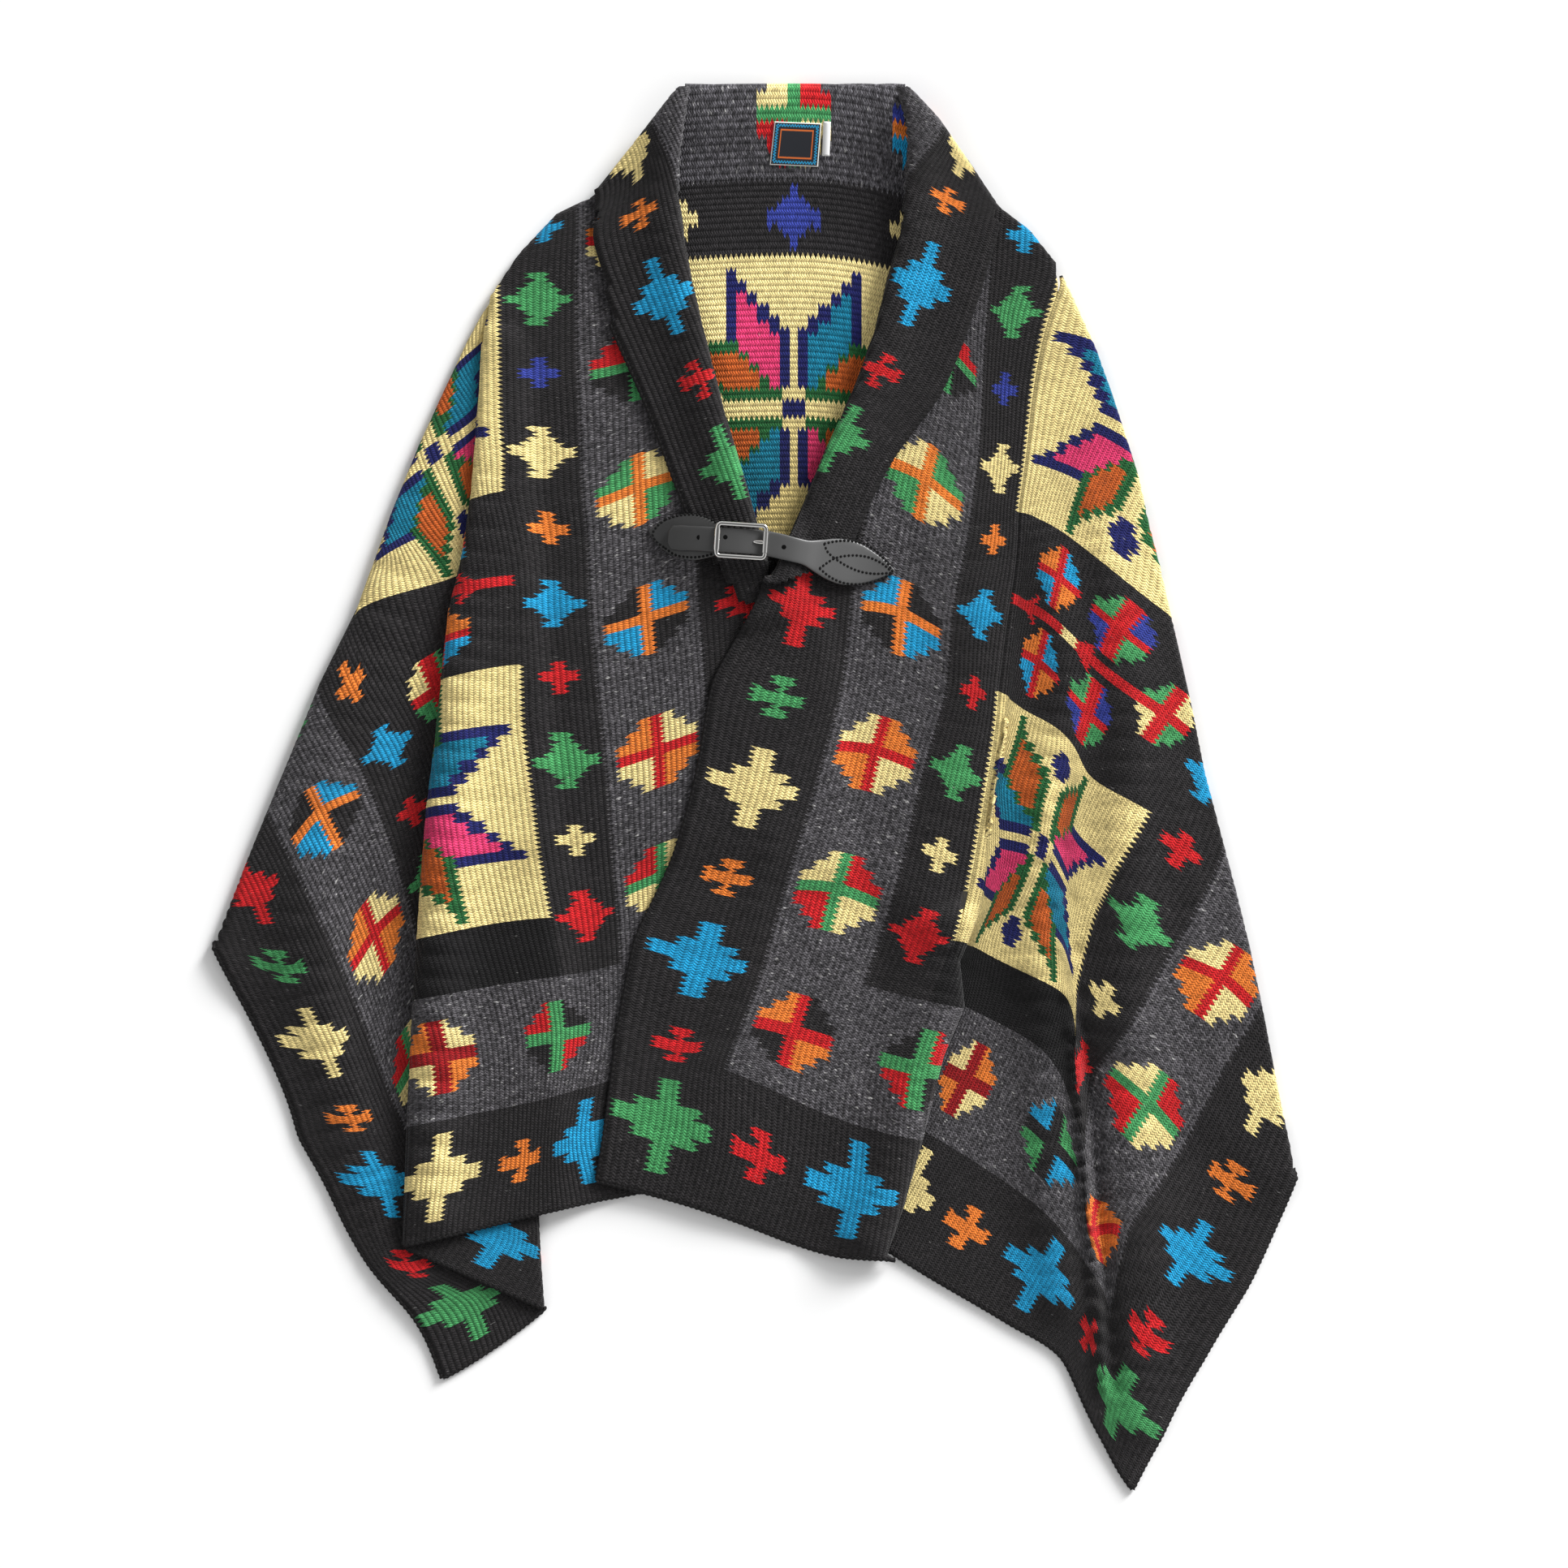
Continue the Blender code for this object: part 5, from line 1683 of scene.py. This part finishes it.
def loop_rows():
    """Middle line of the loop: along, across and half width."""
    rows = []
    for side_x, side_y, first in ((1, 1, 0), (-1, 1, 90), (-1, -1, 180), (1, -1, 270)):
        for step in range(9):
            angle = math.radians(first + 90 * step / 8)
            rows.append((
                side_x * (LOOP_HALF_LONG - LOOP_CORNER) + LOOP_CORNER * math.cos(angle),
                side_y * (LOOP_HALF_HIGH - LOOP_CORNER) + LOOP_CORNER * math.sin(angle), LOOP_WIDE,
            ))
        if first == 90:
            rows.append((-LOOP_HALF_LONG, 8.5, LOOP_BAR_WIDE))
            rows.append((-LOOP_HALF_LONG, -8.5, LOOP_BAR_WIDE))
    for across, wide in ((-1, LOOP_WIDE), (-0.95, LOOP_PIN), (0.95, LOOP_PIN), (1, LOOP_WIDE)):
        rows.append((LOOP_HALF_LONG, across * ROLLER_END, wide))
    return np.array(rows)


def buckle_loop(name):
    rows = loop_rows()
    ahead = np.roll(rows[:, 0:2], -1, axis=0) - np.roll(rows[:, 0:2], 1, axis=0)
    ahead /= np.linalg.norm(ahead, axis=1)[:, None]
    outward = np.column_stack([ahead[:, 1], -ahead[:, 0]])
    turns = 2 * math.pi * np.arange(LOOP_SIDES) / LOOP_SIDES
    points = []
    for row, out in zip(rows, outward):
        thick = min(LOOP_THICK, row[2])
        height = LOOP_HEIGHT + LOOP_RISE * 0.5 * (1 - row[0] / LOOP_HALF_LONG)
        for turn in turns:
            flat = row[0:2] + row[2] * math.cos(turn) * out
            x = LOOP_MIDDLE[0] + flat[0] * math.cos(LOOP_TURN) - flat[1] * math.sin(LOOP_TURN)
            y = LOOP_MIDDLE[1] + flat[0] * math.sin(LOOP_TURN) + flat[1] * math.cos(LOOP_TURN)
            points.append((x, y, height + thick * math.sin(turn)))
    faces = np.roll(tube_faces(len(rows), LOOP_SIDES, closed=True)[:, ::-1], 1, axis=1)
    return mesh_piece(name, points, faces, metal)


loop = buckle_loop("bright_loop")
prong_ahead = np.array([math.cos(LOOP_TURN), math.sin(LOOP_TURN), 0.0])
prong = mesh_piece("bright_prong", *ellipsoid(PRONG_MIDDLE, prong_ahead, *PRONG_HALVES, 12, 14), metal)
for thing, node in ((loop, "buckle_frame"), (prong, "buckle_prong")):
    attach(thing, "root")
    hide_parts(node)

# Woven label and the small white tag beside it, in millimetres
LABEL_CORNERS = ((18.2, 611.3), (61.6, 609.5), (58.5, 570.0), (13.7, 571.9))
TAG_CORNERS = ((63.2, 611.2), (70.2, 610.9), (69.0, 579.6), (62.0, 579.9))
LABEL_RISE = 1.4
LABEL_CELL = 0.5
LABEL_YARN = {
    "edge": (225, 225, 220), "ground": (38, 40, 46), "zigzag": (40, 160, 210), "frame": (215, 110, 50),
}
# How far in from the label's edge each part is, in millimetres
LABEL_EDGE = 0.9
LABEL_ZIGZAG = (1.9, 4.7)
LABEL_FRAME = (6.6, 7.8)
ZIGZAG_PITCH = 2.6
ZIGZAG_WIDE = 0.32
PATCH_THICK = 0.7
PATCH_ROUND = 0.8


def label_colour(across, down, width, length):
    """Plain centre inside an orange frame, a blue zigzag and a white edge."""
    depth = min(across, down, width - across, length - down)
    along = down if min(across, width - across) < min(down, length - down) else across
    if depth < LABEL_EDGE:
        return "edge"
    start, end = LABEL_ZIGZAG
    if start < depth < end:
        swing = abs((along / ZIGZAG_PITCH) % 1 - 0.5) * 2
        return "zigzag" if abs((depth - start) / (end - start) - swing) < ZIGZAG_WIDE else "ground"
    return "frame" if LABEL_FRAME[0] < depth < LABEL_FRAME[1] else "ground"


def patch(name, corners, cell, colour_of, material, bulge=0.0):
    """A thin piece sewn on the back, its cells coloured by colour_of."""
    corners = np.asarray(corners, float)
    width = np.linalg.norm(corners[1] - corners[0])
    length = np.linalg.norm(corners[3] - corners[0])
    columns = max(int(width / cell), 2)
    rows = max(int(length / cell), 2)
    x, y = np.meshgrid(np.linspace(0, 1, columns + 1), np.linspace(0, 1, rows + 1))
    x = x.ravel()[:, None]
    y = y.ravel()[:, None]
    left = corners[0] + (corners[3] - corners[0]) * y
    right = corners[1] + (corners[2] - corners[1]) * y
    spots = left + (right - left) * x
    rise = back.top(spots) + LABEL_RISE + bulge * np.sin(math.pi * x[:, 0])
    edge = np.minimum(np.minimum(x, 1 - x) * width, np.minimum(y, 1 - y) * length)
    rise -= PATCH_THICK * (1 - np.clip(edge[:, 0] / PATCH_ROUND, 0, 1)) ** 2
    i, j = np.meshgrid(np.arange(rows), np.arange(columns), indexing="ij")
    a = (i * (columns + 1) + j).ravel()
    faces = np.column_stack([a, a + columns + 1, a + columns + 2, a + 1])
    piece = mesh_piece(name, np.column_stack([spots, rise]), faces, material)
    if colour_of is not None:
        layer = piece.data.color_attributes.new("yarn", "FLOAT_COLOR", "CORNER")
        values = []
        for row in range(rows):
            for column in range(columns):
                across = (column + 0.5) / columns * width
                kind = colour_of(across, (row + 0.5) / rows * length, width, length)
                values += [(*linear(LABEL_YARN[kind]), 1.0)] * 4
        layer.data.foreach_set("color", np.array(values).ravel())
    body = piece.modifiers.new("thick", "SOLIDIFY")
    body.thickness = PATCH_THICK * MM
    body.offset = -1
    return piece


label_cloth = plain_material("label_weave", (0.5, 0.5, 0.5), 0.7, specular=0.3)
label_paint = label_cloth.node_tree.nodes.new("ShaderNodeVertexColor")
label_paint.layer_name = "yarn"
label_shader = label_cloth.node_tree.nodes["Principled BSDF"]
label_cloth.node_tree.links.new(label_paint.outputs["Color"], label_shader.inputs["Base Color"])
tag_cloth = plain_material("tag_satin", (0.8, 0.8, 0.79), 0.55, specular=0.4)
label = patch("woven_label", LABEL_CORNERS, LABEL_CELL, label_colour, label_cloth)
tag = patch("side_tag", TAG_CORNERS, 1.0, None, tag_cloth, bulge=1.2)
for thing, node, slot_name in ((label, "label_woven", "label_cloth"), (tag, "label_tag", "tag_cloth")):
    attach(thing, "root")
    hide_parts(node)

for thing, node, held, below in CLOTHS:
    width, length, flat_area = CUTS[thing.name]
    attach(thing, "root")
    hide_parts(node)
    list(below)


# Surface, light and camera, in metres; the film is in millimetres
FLOOR_HALF = 6
FLOOR_DROP = 0.0004
CAMERA_HEIGHT = 4.5
CAMERA_SPOT = (0.027, 0.00075)
PHOTO_WIDTH = 1.449
FILM_WIDTH = 36
floor_mesh = bpy.data.meshes.new("pale_surface")
floor_corners = [(x * FLOOR_HALF, y * FLOOR_HALF, 0) for x, y in ((-1, -1), (1, -1), (1, 1), (-1, 1))]
floor_mesh.from_pydata(floor_corners, [], [(0, 1, 2, 3)])
floor = placed("pale_surface", floor_mesh)
floor.location.z = -FLOOR_DROP
floor_mesh.materials.append(new_material("white_surface", {
    "Base Color": (0.98, 0.98, 0.98, 1), "Roughness": 0.9, "Emission Color": (1, 1, 1, 1),
    "Emission Strength": 0.02,
})[0])


# Columns: name, strength, spread, direction
SUNS = (
    ("high_window", 1.9, 0.35, (-0.68, -0.72, -0.44)),
    ("low_window", 4.0, 0.35, (-0.66, -0.75, -0.26)),
)
for name, strength, spread, direction in SUNS:
    sun_data = bpy.data.lights.new(name, "SUN")
    sun_data.energy = strength
    sun_data.angle = spread
    placed(name, sun_data).rotation_euler = Vector(direction).to_track_quat("-Z", "Y").to_euler()
# A room brightest a little above halfway, so the metal and the leather have something to reflect.
# Ends: how bright at the bottom and top. Columns of the rest: height, how bright
ROOM_ENDS = (0.3, 0.1)
ROOM_LIGHTS = ((0.62, 0.95), (0.85, 0.35))
ROOM_STRENGTH = 0.88
world = bpy.data.worlds.new("room")
world.use_nodes = True
room_nodes = world.node_tree.nodes
room_links = world.node_tree.links
room_place = room_nodes.new("ShaderNodeTexCoord")
room_split = room_nodes.new("ShaderNodeSeparateXYZ")
room_ramp = room_nodes.new("ShaderNodeValToRGB")
room_links.new(room_place.outputs["Generated"], room_split.inputs[0])
room_links.new(room_split.outputs["Z"], room_ramp.inputs["Fac"])
for height, light in ROOM_LIGHTS:
    room_ramp.color_ramp.elements.new(height).color = (light, light, light, 1)
for end, light in enumerate(ROOM_ENDS):
    room_ramp.color_ramp.elements[-end].color = (light, light, light, 1)
room_links.new(room_ramp.outputs["Color"], room_nodes["Background"].inputs["Color"])
room_nodes["Background"].inputs["Strength"].default_value = ROOM_STRENGTH
bpy.context.scene.world = world
bpy.context.scene.view_settings.view_transform = "Standard"

camera_data = bpy.data.cameras.new("camera")
camera_data.sensor_width = FILM_WIDTH
camera_data.lens = FILM_WIDTH * CAMERA_HEIGHT / PHOTO_WIDTH
camera = placed("camera", camera_data)
camera.location = (*CAMERA_SPOT, CAMERA_HEIGHT)
bpy.context.scene.camera = camera

bpy.context.view_layer.update()
